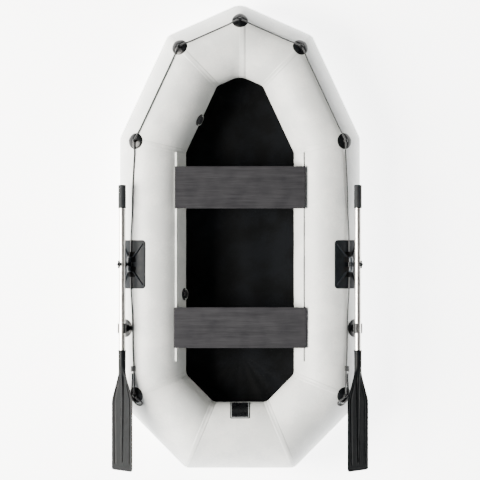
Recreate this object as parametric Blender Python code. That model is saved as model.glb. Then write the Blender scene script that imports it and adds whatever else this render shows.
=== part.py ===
"""An inflatable rowing boat: air tubes, bottom, sliding seats, folding oarlocks, two-part oars, lifeline.

Metres, +Z up, +Y towards the bow, and the boat stands on z = 0. Moving pieces are shown at rest.
"""

import math

import bmesh
import bpy
import numpy as np
from mathutils import Vector

# hull
TUBE_RADIUS = 0.1772
TUBE_SIDES = 24
TUBE_WALL = 0.001
SIDE_X = 0.4672
HULL_PATH = [(0.0, 1.06), (0.2556, 0.9467), (SIDE_X, 0.4935), (SIDE_X, -0.8082), (0.2175, -1.0622)]
BULKHEAD_Y = 0.05
BULKHEAD_THICKNESS = 0.0015
BOTTOM_THICKNESS = 0.0012
BOTTOM_FLANGE_DEG = (12.0, 28.0)
PLATE_SIZE_DEG = (31.0, 80.0)
PLATE_HALF_WIDTH = 0.0535
PLATE_THICKNESS = 0.001
PLATE_CORNER = 0.006
GAP = 0.0003

# seats and the bolt-rope rails that they slide on
RAIL_DEG = -43.4
RAIL_Y = (-0.665, 0.455)
RAIL_BEAD_RADIUS = 0.004
RAIL_STRIP = 0.0012
RAIL_NECK = 0.0025
RAIL_NECK_HALF = 0.0016
RAIL_STRIP_HALF = 0.012
TRACK_CLEARANCE = 0.0004
TRACK_WALL = 0.002
TRACK_TOP = 0.008
TRACK_SETBACK = 0.012
TRACK_FLANGE_DEG = (42.0, 138.0)
SEAT_THICKNESS = 0.012
# place along the boat, depth, overhang past the rail and corner radius of each board
SEATS = {"front": (0.2662, 0.226, 0.0095, 0.002), "rear": (-0.4848, 0.218, 0.015, 0.008)}

# oarlocks: the pin leans outboard by LEAN_DEG at rest
LEAN_DEG = 39.0
OARLOCK_Y = -0.146
PAD_LENGTH = 0.26
PAD_HALF_DEG = 26.4
PAD_THICKNESS = 0.0032
PAD_CORNER = 0.018
HINGE_HEIGHT = 0.0243
HINGE_PIN_RADIUS = 0.004
BARREL_RADIUS = 0.009
BARREL_HALF = 0.012
BARREL_GAP = 0.0005
SPINDLE_RADIUS = 0.006
SPINDLE_NECK_RADIUS = 0.007
COLLAR_RADIUS = 0.016
COLLAR_THICKNESS = 0.005
SPINDLE_ABOVE_SHAFT = 0.022
HINGE_PIN_HALF = 0.037
# the boss at each distance from the middle: half width, knuckle radius and shoulder height
BOSS = [(0.034, 0.026, 0.010, 0.007), (0.0675, 0.020, 0.004, 0.006)]
BOSS_END_HEIGHT = 0.0085
ROPE_TUNNEL_HALF = 0.0065
ROPE_TUNNEL_HEIGHTS = (0.004, 0.0145)
NUT_LIFT = 0.0025
NUT_RADIUS = 0.011
NUT_HEIGHT = 0.01
WING_HALF = 0.002
WING_REACH = 0.021
WING_RISE = 0.014
RUNNING = 0.0001

# oars
SHAFT_HEIGHT = 0.0818
SHAFT_RADIUS = 0.0175
SHAFT_WALL = 0.0015
GRIP_Y = (0.1546, 0.2797)
SHAFT_JOINT_Y = -0.188
SPIGOT_LENGTH = 0.112
BUTTON_Y = -0.245
BUTTON_RADIUS = 0.004
SOCKET_Y = -0.605
BLADE_END_Y = -1.249
BLADE_HALF_WIDTH = 0.0725
BLADE_SLANT = 0.005
BLADE_HALF_THICKNESS = 0.002
BLADE_RIB_HALF = 0.009
GRIP_RADIUS = 0.021
GRIP_END = 0.008
SOCKET_RADIUS = 0.02
SOCKET_DEPTH = 0.095
BUTTON_ABOVE = 0.0025

# oar holders
HOLDER_Y = -0.4878
HOLDER_DEG = 54.0
HOLDER_RADIUS = 0.048
POST_FOOT = (0.015, 0.019)
POST_TOP_HALF = 0.0125
CLIP_HALF_LENGTH = 0.0265
CLIP_WALL = 0.0035
CLIP_MOUTH_DEG = 55.0

# eyelets and lifeline
EYELET_DEG = 32.0
EYELET_RADIUS = 0.043
OVER_EYELET = 0.0132
EYELETS = {0: "eyelet_bow", 1: "eyelet_shoulder_right", 2: "eyelet_fore_right", 3: "eyelet_aft_right",
           6: "eyelet_aft_left", 7: "eyelet_fore_left", 8: "eyelet_shoulder_left"}
ROPE_RADIUS = 0.004
# the rope's way along a side: how far forward, degrees outboard of the top, height above the tube
SIDE_ROPE = [(0.37, 34.2, 0.0048), (0.24, 36.4, 0.0048), (0.12, 37.2, 0.0048), (0.012, 38.6, 0.0082),
             (-0.05, 39.0, 0.0084), (-0.146, 39.0, 0.0086), (-0.242, 39.0, 0.0084), (-0.304, 38.4, 0.0082),
             (-0.4, 36.8, 0.0048), (-0.488, 36.0, 0.0048), (-0.6, 35.6, 0.0048), (-0.7, 33.6, 0.0048)]

# valves: height above the widest line of the tube
VALVE_DEG = -72.0
VALVE_REAR_Y = -0.3058
VALVE_FRONT_SHARE = 0.545
# turned sections as (radius, height) in millimetres above the tube
VALVE_BODY = [(15, 8), (22, 8), (22, 3), (33, 2), (33, 0.5), (17.5, 0.5), (17.5, -12), (12, -12),
              (12, -9), (15, -9)]
VALVE_POPPET = [(0, -15.3), (14, -15.3), (14, -13.3), (12.5, -12.3), (2.5, -12.3), (2.5, 5), (6.5, 5),
                (6.5, 6.5), (0, 6.5)]
VALVE_CAP = [(0, 8.4), (22, 8.4), (22.5, 9), (22.5, 11.5), (20, 13), (0, 13.6)]
VALVE_HOLE = 0.0185
CAP_HINGE = (0.027, 0.0105)
SPRING_HEIGHTS = (-0.0040, 0.0046)
SPRING_RADIUS = 0.0046
SPRING_WIRE = 0.00045
SPRING_TURNS = 3.0

UP = Vector((0, 0, 1))
AXIS_Z = TUBE_RADIUS * math.cos(math.pi / TUBE_SIDES)
SHARP_DEG = 40.0
# base colour, roughness and metallic of each finish
FINISHES = {
    "pvc": ((0.74, 0.76, 0.76), 0.45, 0.0), "bottom": ((0.012, 0.014, 0.016), 0.55, 0.0),
    "rubber": ((0.02, 0.022, 0.025), 0.5, 0.0), "pad": ((0.05, 0.058, 0.065), 0.55, 0.0),
    "metal": ((0.72, 0.71, 0.69), 0.35, 1.0), "blade": ((0.03, 0.033, 0.037), 0.45, 0.0),
    "board": ((0.06, 0.058, 0.062), 0.5, 0.0), "rope": ((0.03, 0.032, 0.034), 0.8, 0.0),
    "steel": ((0.4, 0.4, 0.4), 0.3, 1.0),
}


def clear_scene():
    """Removes whatever the file opened with."""
    for obj in list(bpy.data.objects):
        bpy.data.objects.remove(obj)


def material(name, finish):
    """A Principled material of that finish."""
    colour, roughness, metallic = FINISHES[finish]
    made = bpy.data.materials.new(name)
    made.use_nodes = True
    inputs = made.node_tree.nodes["Principled BSDF"].inputs
    inputs["Base Color"].default_value = (*colour, 1)
    inputs["Roughness"].default_value, inputs["Metallic"].default_value = roughness, metallic
    return made


def solid(name, points, faces, colour, origin=None):
    """One closed body, facing out. Points on one spot are joined, and its origin is set where asked."""
    mesh = bpy.data.meshes.new(name)
    mesh.from_pydata([tuple(p) for p in points], [], faces)
    bm = bmesh.new()
    bm.from_mesh(mesh)
    bmesh.ops.remove_doubles(bm, verts=bm.verts, dist=1e-6)
    bmesh.ops.recalc_face_normals(bm, faces=bm.faces)
    if bm.calc_volume(signed=True) < 0:
        bmesh.ops.reverse_faces(bm, faces=bm.faces)
    if origin is not None:
        bmesh.ops.translate(bm, verts=bm.verts, vec=-Vector(origin))
    bm.to_mesh(mesh)
    bm.free()
    obj = bpy.data.objects.new(name, mesh)
    if origin is not None:
        obj.location = origin
    bpy.context.scene.collection.objects.link(obj)
    mesh.materials.append(material(name, colour))
    mesh.shade_smooth()
    mesh.set_sharp_from_angle(angle=math.radians(SHARP_DEG))
    return obj


def skin(name, rings, colour, loop=False, origin=None):
    """A body through a row of rings of equally many points: closed on itself, or capped at its two ends."""
    count, size = len(rings), len(rings[0])
    points = [p for ring in rings for p in ring]
    faces = []
    for i in range(count if loop else count - 1):
        here, there = i * size, (i + 1) % count * size
        for k in range(size):
            after = (k + 1) % size
            faces.append((here + k, here + after, there + after, there + k))
    if not loop:
        faces += [tuple(range(size))[::-1], tuple(range((count - 1) * size, count * size))]
    return solid(name, points, faces, colour, origin)


class Spot:
    """A local frame: an origin and three axes, of which the third points away from the surface."""

    def __init__(self, origin, ex, ey, ez):
        self.origin, self.ex, self.ey, self.ez = Vector(origin), Vector(ex), Vector(ey), Vector(ez)

    def at(self, x, y, z):
        """The point with these local coordinates."""
        return self.origin + self.ex * x + self.ey * y + self.ez * z

    def moved(self, x, y, z):
        """The same axes at another point."""
        return Spot(self.at(x, y, z), self.ex, self.ey, self.ez)


def lathe(name, profile, spot, colour, segments=20, origin=None):
    """A closed profile of (radius, height) turned about the spot's third axis."""
    rings = []
    for k in range(segments):
        a = 2 * math.pi * k / segments
        rings.append([spot.at(r * math.cos(a), r * math.sin(a), h) for r, h in profile])
    return skin(name, rings, colour, loop=True, origin=origin)


def rod(name, radius, low, high, spot, colour="steel", segments=20, origin=None):
    """A plain round bar along the spot's third axis."""
    profile = [(0, low), (radius, low), (radius, high), (0, high)]
    return lathe(name, profile, spot, colour, segments, origin)


def prism(name, outline, spot, low, high, colour, origin=None):
    """An outline of (x, z) points pushed along the spot's second axis."""
    rings = [[spot.at(x, y, z) for x, z in outline] for y in (low, high)]
    return skin(name, rings, colour, origin=origin)


def block(name, spot, low, high, colour="steel"):
    """A box between two local corners."""
    outline = [(low[0], low[2]), (high[0], low[2]), (high[0], high[2]), (low[0], high[2])]
    return prism(name, outline, spot, low[1], high[1], colour)


def combine(target, operation, *tools):
    """Joins the tools to the target, or cuts them from it. The tools themselves aren't part of the boat."""
    for tool in tools:
        tool.hide_render = True
        tool.display_type = "WIRE"
        modifier = target.modifiers.new(tool.name, "BOOLEAN")
        modifier.operation, modifier.object, modifier.solver = operation, tool, "EXACT"
    return target


def side_spot(side, degrees, y, height=0.0):
    """A spot on a side tube, that many degrees outboard of its top: first axis outboard, second forward."""
    a = math.radians(degrees)
    normal = Vector((side * math.sin(a), 0, math.cos(a)))
    along = Vector((side * math.cos(a), 0, -math.sin(a)))
    axis = Vector((side * SIDE_X, y, AXIS_Z))
    return Spot(axis + normal * (TUBE_RADIUS + height), along, Vector((0, 1, 0)), normal)


class Corner:
    """One kink of the tube's centreline: the mitre plane and the two tubes that meet there."""

    def __init__(self, before, here, after):
        self.here = here
        self.come, self.go = (here - before).normalized(), (after - here).normalized()
        self.plane = (self.come + self.go).normalized()
        self.out = UP.cross(self.plane)
        self.half = self.come.angle(self.go) / 2

    def seam(self, degrees, height):
        """A point on the seam, that many degrees outboard of the top and that high above the tube."""
        a, r = math.radians(degrees), TUBE_RADIUS + height
        return self.here + self.out * (r * math.sin(a) / math.cos(self.half)) + UP * (r * math.cos(a))

    def beside(self, degrees, height, offset):
        """The same, but that far before (negative) or after the seam, parallel to the tube."""
        return self.seam(degrees, height) + (self.go if offset > 0 else self.come) * offset

    def lifted(self, point, normal, height):
        """The point moved along the normal until it is that high above the tube on its side of the seam."""
        way = self.go if (point - self.here).dot(self.plane) > 0 else self.come
        q = (point - self.here) - way * (point - self.here).dot(way)
        n = normal - way * normal.dot(way)
        a, b, c = n.dot(n), 2 * q.dot(n), q.dot(q) - (TUBE_RADIUS + height) ** 2
        return point + normal * ((-b + math.sqrt(b * b - 4 * a * c)) / (2 * a))

    def spot(self, degrees):
        """The spot on the seam, its second axis along the tube and its third away from it."""
        base = self.seam(degrees, 0)
        normals = []
        for way in (self.come, self.go):
            away = (base - self.here) - way * (base - self.here).dot(way)
            normals.append(away.normalized())
        normal = (normals[0] + normals[1]).normalized()
        ey = (self.plane - normal * self.plane.dot(normal)).normalized()
        return Spot(base, ey.cross(normal), ey, normal)


def hull_loop():
    """The centreline's corners, from the bow down the right side, across the stern and up the left side."""
    right = [Vector((x, y, AXIS_Z)) for x, y in HULL_PATH]
    points = right + [Vector((-p.x, p.y, p.z)) for p in reversed(right[1:])]
    n = len(points)
    return [Corner(points[i - 1], points[i], points[(i + 1) % n]) for i in range(n)]


def tube_ring(corner, way, radius, shift):
    """The tube's section at the corner's mitre plane, moved off the plane by shift."""
    across, ring = way.cross(UP), []
    for k in range(TUBE_SIDES):
        a = 2 * math.pi * (k + 0.5) / TUBE_SIDES
        p = corner.here + (UP * math.cos(a) + across * math.sin(a)) * radius
        off = (shift - (p - corner.here).dot(corner.plane)) / way.dot(corner.plane)
        ring.append(p + way * off)
    return ring


PANELS = ["tube_bow_right", "tube_shoulder_right", "tube_side_right", "tube_quarter_right", "tube_stern",
          "tube_quarter_left", "tube_side_left", "tube_shoulder_left", "tube_bow_left"]


def build_tubes(loop):
    """Nine straight thin-walled tubes that meet at mitres, and the two walls that part the air chambers."""
    made = {}
    for i, name in enumerate(PANELS):
        a, b = loop[i], loop[(i + 1) % len(loop)]
        inner = TUBE_RADIUS - TUBE_WALL
        columns = zip(
            tube_ring(a, a.go, TUBE_RADIUS, GAP / 2), tube_ring(b, a.go, TUBE_RADIUS, -GAP / 2),
            tube_ring(b, a.go, inner, -GAP / 2), tube_ring(a, a.go, inner, GAP / 2),
        )
        made[name] = skin(name, [list(c) for c in columns], "pvc", loop=True)
    for side, word in ((1, "right"), (-1, "left")):
        rings = []
        for y in (BULKHEAD_Y, BULKHEAD_Y + BULKHEAD_THICKNESS):
            angles = [2 * math.pi * (k + 0.5) / TUBE_SIDES for k in range(TUBE_SIDES)]
            r = TUBE_RADIUS - TUBE_WALL - 2 * GAP
            rings.append([
                Vector((side * SIDE_X + r * math.sin(a), y, AXIS_Z + r * math.cos(a))) for a in angles
            ])
        skin(f"bulkhead_{word}", rings, "pvc")
    return made


def build_bottom(loop):
    """The bottom: flat inside the tubes, with a flange that follows their underside."""
    low, high = BOTTOM_FLANGE_DEG
    steps = 4
    slack = math.cos(math.radians((high - low) / steps / 2))
    tops, lows = [], []
    for k in range(steps + 1):
        a = math.radians(low + (high - low) * k / steps)
        for rings, offset in ((tops, GAP), (lows, GAP + BOTTOM_THICKNESS)):
            r = (TUBE_RADIUS + offset) / slack
            level, drop = r * math.sin(a), UP * (r * math.cos(a))
            rings.append([c.here - c.out * (level / math.cos(c.half)) - drop for c in loop])
    skin("bottom_sheet", tops[::-1] + lows, "bottom")


def patch(name, spot, half_length, angles, corner, inner, outer, colour, steps=10):
    """A plate with rounded corners, bent round a tube. The spot stands on the tube's axis."""
    low, high = (math.radians(a) for a in angles)
    slack = math.cos((high - low) / steps / 2)
    rings = []
    for k in range(steps + 1):
        a = low + (high - low) * k / steps
        edge = min(a - low, high - a) * inner
        cut = 0 if edge >= corner else corner - math.sqrt(max(0.0, corner**2 - (corner - edge) ** 2))
        y = half_length - cut
        r_in, r_out = inner / slack, outer / slack
        across, up = math.sin(a), math.cos(a)
        corners = ((r_in, -y), (r_in, y), (r_out, y), (r_out, -y))
        rings.append([spot.at(r * across, end, r * up) for r, end in corners])
    return skin(name, rings, colour)


def build_plate():
    """The plain plate on the inner side of the stern tube."""
    centre = Vector((0, HULL_PATH[-1][1], AXIS_Z))
    spot = Spot(centre, (0, 1, 0), (1, 0, 0), (0, 0, 1))
    low = TUBE_RADIUS + GAP
    patch("maker_plate", spot, PLATE_HALF_WIDTH, PLATE_SIZE_DEG, PLATE_CORNER, low, low + PLATE_THICKNESS,
          "rubber", steps=8)


def rail_spot(side):
    """The spot at the centre of a rail's bead, with upright axes: the first outboard, the third up."""
    height = RAIL_STRIP + GAP + RAIL_NECK + RAIL_BEAD_RADIUS
    bead = side_spot(side, RAIL_DEG, 0, height).origin
    return Spot(bead, (side, 0, 0), (0, 1, 0), (0, 0, 1))


def build_rails():
    """The two bolt-rope rails: a strip on the tube, a neck and a round bead."""
    for side, word in ((1, "right"), (-1, "left")):
        spot = side_spot(side, RAIL_DEG, 0)
        centre = RAIL_STRIP + GAP + RAIL_NECK + RAIL_BEAD_RADIUS
        half = RAIL_STRIP_HALF

        def drop(s, height):
            return math.sqrt((TUBE_RADIUS + height) ** 2 - s * s) - TUBE_RADIUS

        low = [(s, drop(s, GAP)) for s in (-half, -half / 2, 0, half / 2, half)]
        top = [(half, drop(half, GAP + RAIL_STRIP)), (RAIL_NECK_HALF, GAP + RAIL_STRIP)]
        bead = [(RAIL_BEAD_RADIUS * math.sin(a), centre - RAIL_BEAD_RADIUS * math.cos(a))
                for a in np.radians(np.linspace(24, 336, 12))]
        end = [(-RAIL_NECK_HALF, GAP + RAIL_STRIP), (-half, drop(half, GAP + RAIL_STRIP))]
        prism(f"seat_rail_{word}", low + top + bead + end, spot, *RAIL_Y, "pvc")


def track_outline():
    """The seat track's section round the bead: open towards the tube, flat on top."""
    inner = RAIL_BEAD_RADIUS + TRACK_CLEARANCE
    outer = inner + TRACK_WALL
    mouth = -90.0 - RAIL_DEG
    angles = np.radians(np.linspace(mouth + 40, mouth + 320, 20))
    ring = []
    for a in angles:
        if TRACK_FLANGE_DEG[0] <= math.degrees(a) <= TRACK_FLANGE_DEG[1]:
            ring.append((TRACK_TOP / math.tan(a), TRACK_TOP))
        else:
            ring.append((outer * math.cos(a), outer * math.sin(a)))
    return ring + [(inner * math.cos(a), inner * math.sin(a)) for a in angles[::-1]]


def build_seats():
    """Two seat boards, each with a track under both ends that runs on the rails."""
    bead = rail_spot(1).origin
    low = bead.z + TRACK_TOP + GAP
    for word, (y, depth, overhang, corner) in SEATS.items():
        half, place = bead.x + overhang, (0, y, low)
        for side, hand in ((1, "right"), (-1, "left")):
            prism(f"seat_track_{word}_{hand}", track_outline(), rail_spot(side),
                  y - depth / 2 + TRACK_SETBACK, y + depth / 2 - TRACK_SETBACK, "metal", place)
        outline = []
        for sx, sy, start in ((1, 1, 0), (-1, 1, 90), (-1, -1, 180), (1, -1, 270)):
            for a in np.radians([start, start + 30, start + 60, start + 90]):
                outline.append((sx * (half - corner) + corner * math.cos(a),
                                y + sy * (depth / 2 - corner) + corner * math.sin(a)))
        rings = [[Vector((px, py, z)) for px, py in outline] for z in (low, low + SEAT_THICKNESS)]
        skin(f"seat_board_{word}", rings, "board", origin=place)


def lug_rings(spot, sign):
    """Half of the oarlock's boss: a full knuckle beside the hinge, its foot halfway into the pad's thickness."""
    rings = []
    near = (BARREL_HALF + BARREL_GAP, *BOSS[0][1:])
    crowns = (HINGE_HEIGHT, HINGE_HEIGHT, BOSS_END_HEIGHT)
    half_turn = np.radians(np.linspace(0, 180, 7))
    for (y, wide, knuckle, shoulder), crown in zip((near, *BOSS), crowns):
        arc = [(knuckle * math.cos(a), crown + knuckle * math.sin(a)) for a in half_turn]
        base = [(x, math.sqrt(TUBE_RADIUS**2 - x * x) - TUBE_RADIUS + GAP + PAD_THICKNESS / 2)
                for x in (-wide, -wide / 2, 0, wide / 2, wide)]
        ring = base + [(wide, shoulder)] + arc + [(-wide, shoulder)]
        rings.append([spot.at(x, sign * y, z) for x, z in ring])
    return rings


def build_oarlocks():
    """Each oarlock: a curved pad with a boss, a hinge pin, the swivel that folds on it, and a wing nut."""
    for side, word in ((1, "right"), (-1, "left")):
        spot = side_spot(side, LEAN_DEG, OARLOCK_Y)
        tube = spot.moved(0, 0, -TUBE_RADIUS)
        pad = patch(f"oarlock_pad_{word}", tube, PAD_LENGTH / 2, (-PAD_HALF_DEG, PAD_HALF_DEG), PAD_CORNER,
                    TUBE_RADIUS + GAP, TUBE_RADIUS + GAP + PAD_THICKNESS, "pad")
        hinge = spot.moved(0, 0, HINGE_HEIGHT)
        along = Spot(hinge.origin, hinge.ex, hinge.ez, hinge.ey)
        bore = HINGE_PIN_RADIUS + RUNNING
        combine(pad, "UNION", skin(f"lug_fore_{word}", lug_rings(spot, 1), "pad"),
                skin(f"lug_aft_{word}", lug_rings(spot, -1), "pad"))
        combine(pad, "DIFFERENCE", rod(f"pad_bore_{word}", bore, -0.06, 0.06, along),
                block(f"pad_tunnel_{word}", spot, (-ROPE_TUNNEL_HALF, -0.08, ROPE_TUNNEL_HEIGHTS[0]),
                      (ROPE_TUNNEL_HALF, 0.08, ROPE_TUNNEL_HEIGHTS[1])))
        rod(f"hinge_pin_{word}", HINGE_PIN_RADIUS, -HINGE_PIN_HALF, HINGE_PIN_HALF, along, "metal", 16)

        shaft = SHAFT_HEIGHT - HINGE_HEIGHT
        rest = shaft - SHAFT_RADIUS - 0.001
        tip = shaft + SHAFT_RADIUS + SPINDLE_ABOVE_SHAFT
        under = rest - COLLAR_THICKNESS
        profile = [(0, 0), (SPINDLE_NECK_RADIUS, 0), (SPINDLE_NECK_RADIUS, under - 0.001),
                   (COLLAR_RADIUS, under), (COLLAR_RADIUS, rest), (SPINDLE_RADIUS, rest),
                   (SPINDLE_RADIUS, tip - 0.002), (0.75 * SPINDLE_RADIUS, tip), (0, tip)]
        swivel = lathe(f"oarlock_swivel_{word}", profile, hinge, "pad", 20, hinge.origin)
        barrel = rod(f"swivel_barrel_{word}", BARREL_RADIUS, -BARREL_HALF, BARREL_HALF, along)
        combine(swivel, "UNION", barrel)
        combine(swivel, "DIFFERENCE", rod(f"swivel_bore_{word}", bore, -0.03, 0.03, along))

        base = shaft + SHAFT_RADIUS + NUT_LIFT
        hole, top = SPINDLE_RADIUS + RUNNING, base + NUT_HEIGHT
        ring = [(hole, base), (NUT_RADIUS, base), (NUT_RADIUS, top - 0.001), (NUT_RADIUS - 0.002, top),
                (hole, top)]
        nut = lathe(f"wing_nut_{word}", ring, hinge, "rubber", 20, hinge.at(0, 0, base))
        for sign, hand in ((1, "a"), (-1, "b")):
            wing = block(f"wing_{hand}_{word}", hinge, (-WING_HALF, sign * 0.0085, base + 0.002),
                         (WING_HALF, sign * WING_REACH, base + WING_RISE))
            combine(nut, "UNION", wing)


def blade_rings(spot):
    """The blade from its socket's mouth to its end: a round socket that flattens into a ribbed plate."""
    end = BLADE_END_Y - SOCKET_Y
    # distance past the mouth, half width and half thickness
    stations = [(0, SOCKET_RADIUS, SOCKET_RADIUS), (-0.085, SOCKET_RADIUS, SOCKET_RADIUS),
                (-0.11, 0.022, 0.015), (-0.14, 0.03, 0.011), (-0.195, 0.048, 0.0085),
                (-0.24, 0.064, 0.0075), (-0.268, BLADE_HALF_WIDTH, 0.007),
                (end * 0.62, BLADE_HALF_WIDTH, 0.006), (end * 0.85, BLADE_HALF_WIDTH, 0.004),
                (end + 0.017, BLADE_HALF_WIDTH, 0.003), (end + 0.004, BLADE_HALF_WIDTH - 0.006, 0.0025),
                (end, BLADE_HALF_WIDTH - 0.016, 0.0022)]
    rings = []
    for y, half, thick in stations:
        flat = min(1.0, max(0.0, (half / thick - 1) / 2))
        lean = BLADE_SLANT if y < end * 0.9 else 0.0
        ring = []
        for k in range(20):
            a = 2 * math.pi * (k + 0.5) / 20
            x, s = half * math.cos(a), math.sin(a)
            rib = (thick - BLADE_HALF_THICKNESS) * math.exp(-((x / BLADE_RIB_HALF) ** 2))
            plate = math.copysign(min(1.0, abs(s) * 2.5) * BLADE_HALF_THICKNESS + rib, s)
            along = SOCKET_Y - spot.origin.y + y + lean * x / half
            ring.append(spot.at(x, along, (1 - flat) * thick * s + flat * plate))
        rings.append(ring)
    return rings


def build_oars():
    """Each oar: grip, upper and lower shaft with a spigot joint and snap button, and a socketed blade."""
    for side, word in ((1, "right"), (-1, "left")):
        spot = side_spot(side, LEAN_DEG, OARLOCK_Y, SHAFT_HEIGHT)
        axis = Spot((spot.origin.x, 0, spot.origin.z), spot.ex, spot.ez, (0, 1, 0))
        pivot = spot.origin
        low, high = GRIP_Y
        bore, inner = SHAFT_RADIUS + GAP, SHAFT_RADIUS - SHAFT_WALL
        ribs, waist = [], GRIP_RADIUS - 0.0015
        for k in range(2):
            y = low + 0.006 + 0.056 * k
            ribs += [(GRIP_RADIUS, y), (GRIP_RADIUS, y + 0.05), (waist, y + 0.051), (waist, y + 0.055)]
        lid = high - GRIP_END + 0.0005
        profile = [(bore, low), (waist, low), *ribs, (GRIP_RADIUS, high - GRIP_END), (waist, high), (0, high),
                   (0, lid), (bore, lid)]
        lathe(f"oar_grip_{word}", profile, axis, "rubber", 24, pivot)

        spigot = inner - RUNNING
        hollow = spigot - SHAFT_WALL
        end = SHAFT_JOINT_Y - SPIGOT_LENGTH
        top = high - GRIP_END
        profile = [(SHAFT_RADIUS, top), (SHAFT_RADIUS, SHAFT_JOINT_Y), (spigot, SHAFT_JOINT_Y), (spigot, end),
                   (hollow, end), (hollow, top)]
        upper = lathe(f"oar_shaft_upper_{word}", profile, axis, "metal", 24, pivot)
        combine(upper, "DIFFERENCE", rod(f"pin_hole_{word}", SPINDLE_RADIUS + GAP, -0.03, 0.03, spot))
        below = Spot((pivot.x, BUTTON_Y, pivot.z), spot.ex, -spot.ey, -spot.ez)
        combine(upper, "DIFFERENCE", rod(f"button_hole_a_{word}", BUTTON_RADIUS + GAP, 0.008, 0.022, below))

        mouth = SOCKET_Y - SOCKET_DEPTH
        profile = [(SHAFT_RADIUS, SHAFT_JOINT_Y - GAP), (SHAFT_RADIUS, mouth), (inner, mouth),
                   (inner, SHAFT_JOINT_Y - GAP)]
        lower = lathe(f"oar_shaft_lower_{word}", profile, axis, "metal", 24, pivot)
        combine(lower, "DIFFERENCE", rod(f"button_hole_b_{word}", BUTTON_RADIUS + GAP, 0.008, 0.022, below))
        stop = hollow - 0.0018
        crown, foot = SHAFT_RADIUS + BUTTON_ABOVE, BUTTON_RADIUS + 0.002
        profile = [(0, stop - 0.001), (foot, stop - 0.001), (foot, stop), (BUTTON_RADIUS, stop),
                   (BUTTON_RADIUS, crown - 0.001), (BUTTON_RADIUS - 0.0015, crown), (0, crown)]
        lathe(f"snap_button_{word}", profile, below, "steel", 16, below.origin)

        blade = skin(f"oar_blade_{word}", blade_rings(spot), "blade", origin=pivot)
        cutter = rod(f"socket_bore_{word}", bore, mouth - GAP, SOCKET_Y + 0.01, axis, "steel", 24)
        combine(blade, "DIFFERENCE", cutter)


def disc_rings(at, rings, segments):
    """The rings of a disc that lies on a tube, for skin(): at(x, y, height) gives its points."""
    columns = []
    for k in range(segments):
        a = 2 * math.pi * k / segments
        columns.append([at(r * math.cos(a), r * math.sin(a), h) for r, h in rings])
    return columns


def build_holders():
    """Each oar holder: a disc on the tube with a post, and a springy clip round the shaft."""
    for side, word in ((1, "right"), (-1, "left")):
        foot = side_spot(side, HOLDER_DEG, HOLDER_Y)

        def on_tube(x, y, height, foot=foot):
            return foot.at(x, y, math.sqrt((TUBE_RADIUS + height) ** 2 - x * x) - TUBE_RADIUS)

        r = HOLDER_RADIUS
        rings = [(0, 0.0008), (r * 0.5, 0.0008), (r, 0.0008), (r, 0.002), (r * 0.8, 0.0045), (0, 0.006)]
        base = skin(f"oar_holder_{word}", disc_rings(on_tube, rings, 16), "rubber", loop=True)
        oar = side_spot(side, LEAN_DEG, HOLDER_Y, SHAFT_HEIGHT)
        seat = SHAFT_RADIUS + TRACK_CLEARANCE + CLIP_WALL + 0.0007
        angles = [2 * math.pi * k / 12 for k in range(12)]
        wide, deep = POST_FOOT
        rings = [[foot.at(wide * math.cos(a), deep * math.sin(a), 0.003) for a in angles],
                 [oar.at(POST_TOP_HALF * math.cos(a), deep * math.sin(a), -seat - GAP) for a in angles]]
        combine(base, "UNION", skin(f"post_{word}", rings, "rubber"))

        inner = SHAFT_RADIUS + TRACK_CLEARANCE
        outline = []
        sweep = np.linspace(90 + CLIP_MOUTH_DEG, 450 - CLIP_MOUTH_DEG, 21)
        for a in np.radians(sweep):
            flat = abs(a - math.radians(270)) < math.radians(33)
            radius = seat / math.cos(a - math.radians(270)) if flat else inner + CLIP_WALL
            outline.append((radius * math.cos(a), radius * math.sin(a)))
        outline += [(inner * math.cos(a), inner * math.sin(a)) for a in np.radians(sweep[::-1])]
        prism(f"oar_clip_{word}", outline, oar, -CLIP_HALF_LENGTH, CLIP_HALF_LENGTH, "rubber")


def rounded(corner):
    """The rope's five points over an eyelet, with the kink rounded off."""
    a, c, b = (corner.beside(EYELET_DEG, OVER_EYELET, d) for d in (-0.016, 0.0, 0.016))
    return [a * (1 - t) ** 2 + c * (2 * t * (1 - t)) + b * t**2 for t in (0, 0.25, 0.5, 0.75, 1)]


def build_eyelets(loop):
    """Seven domed rubber discs on the seams, each with a bridge that the rope runs under."""
    for index, name in EYELETS.items():
        corner = loop[index]
        spot = corner.spot(EYELET_DEG)

        def on_hull(x, y, height, corner=corner, spot=spot):
            return corner.lifted(spot.at(x, y, 0), spot.ez, height)

        r = EYELET_RADIUS
        rings = [(0, 0.0008), (r * 0.6, 0.0008), (r, 0.0008), (r, 0.002), (r * 0.8, 0.0048), (0, 0.0068)]
        disc = skin(name, disc_rings(on_hull, rings, 12), "rubber", loop=True)
        centre = rounded(corner)[2]
        bridge = Spot(centre, spot.ex, spot.ey, spot.ez)
        inner, outer, leg = ROPE_RADIUS + 0.0014, ROPE_RADIUS + 0.005, -0.0072
        arc = np.radians(np.linspace(0, 180, 7))
        outline = [(outer, leg)] + [(outer * math.cos(a), outer * math.sin(a)) for a in arc] + [(-outer, leg)]
        hole = [(inner * math.cos(a), inner * math.sin(a)) for a in arc[::-1]]
        outline += [(-inner, leg), *hole, (inner, leg)]
        combine(disc, "UNION", prism(f"bridge_{name}", outline, bridge, -0.007, 0.007, "rubber"))


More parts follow.
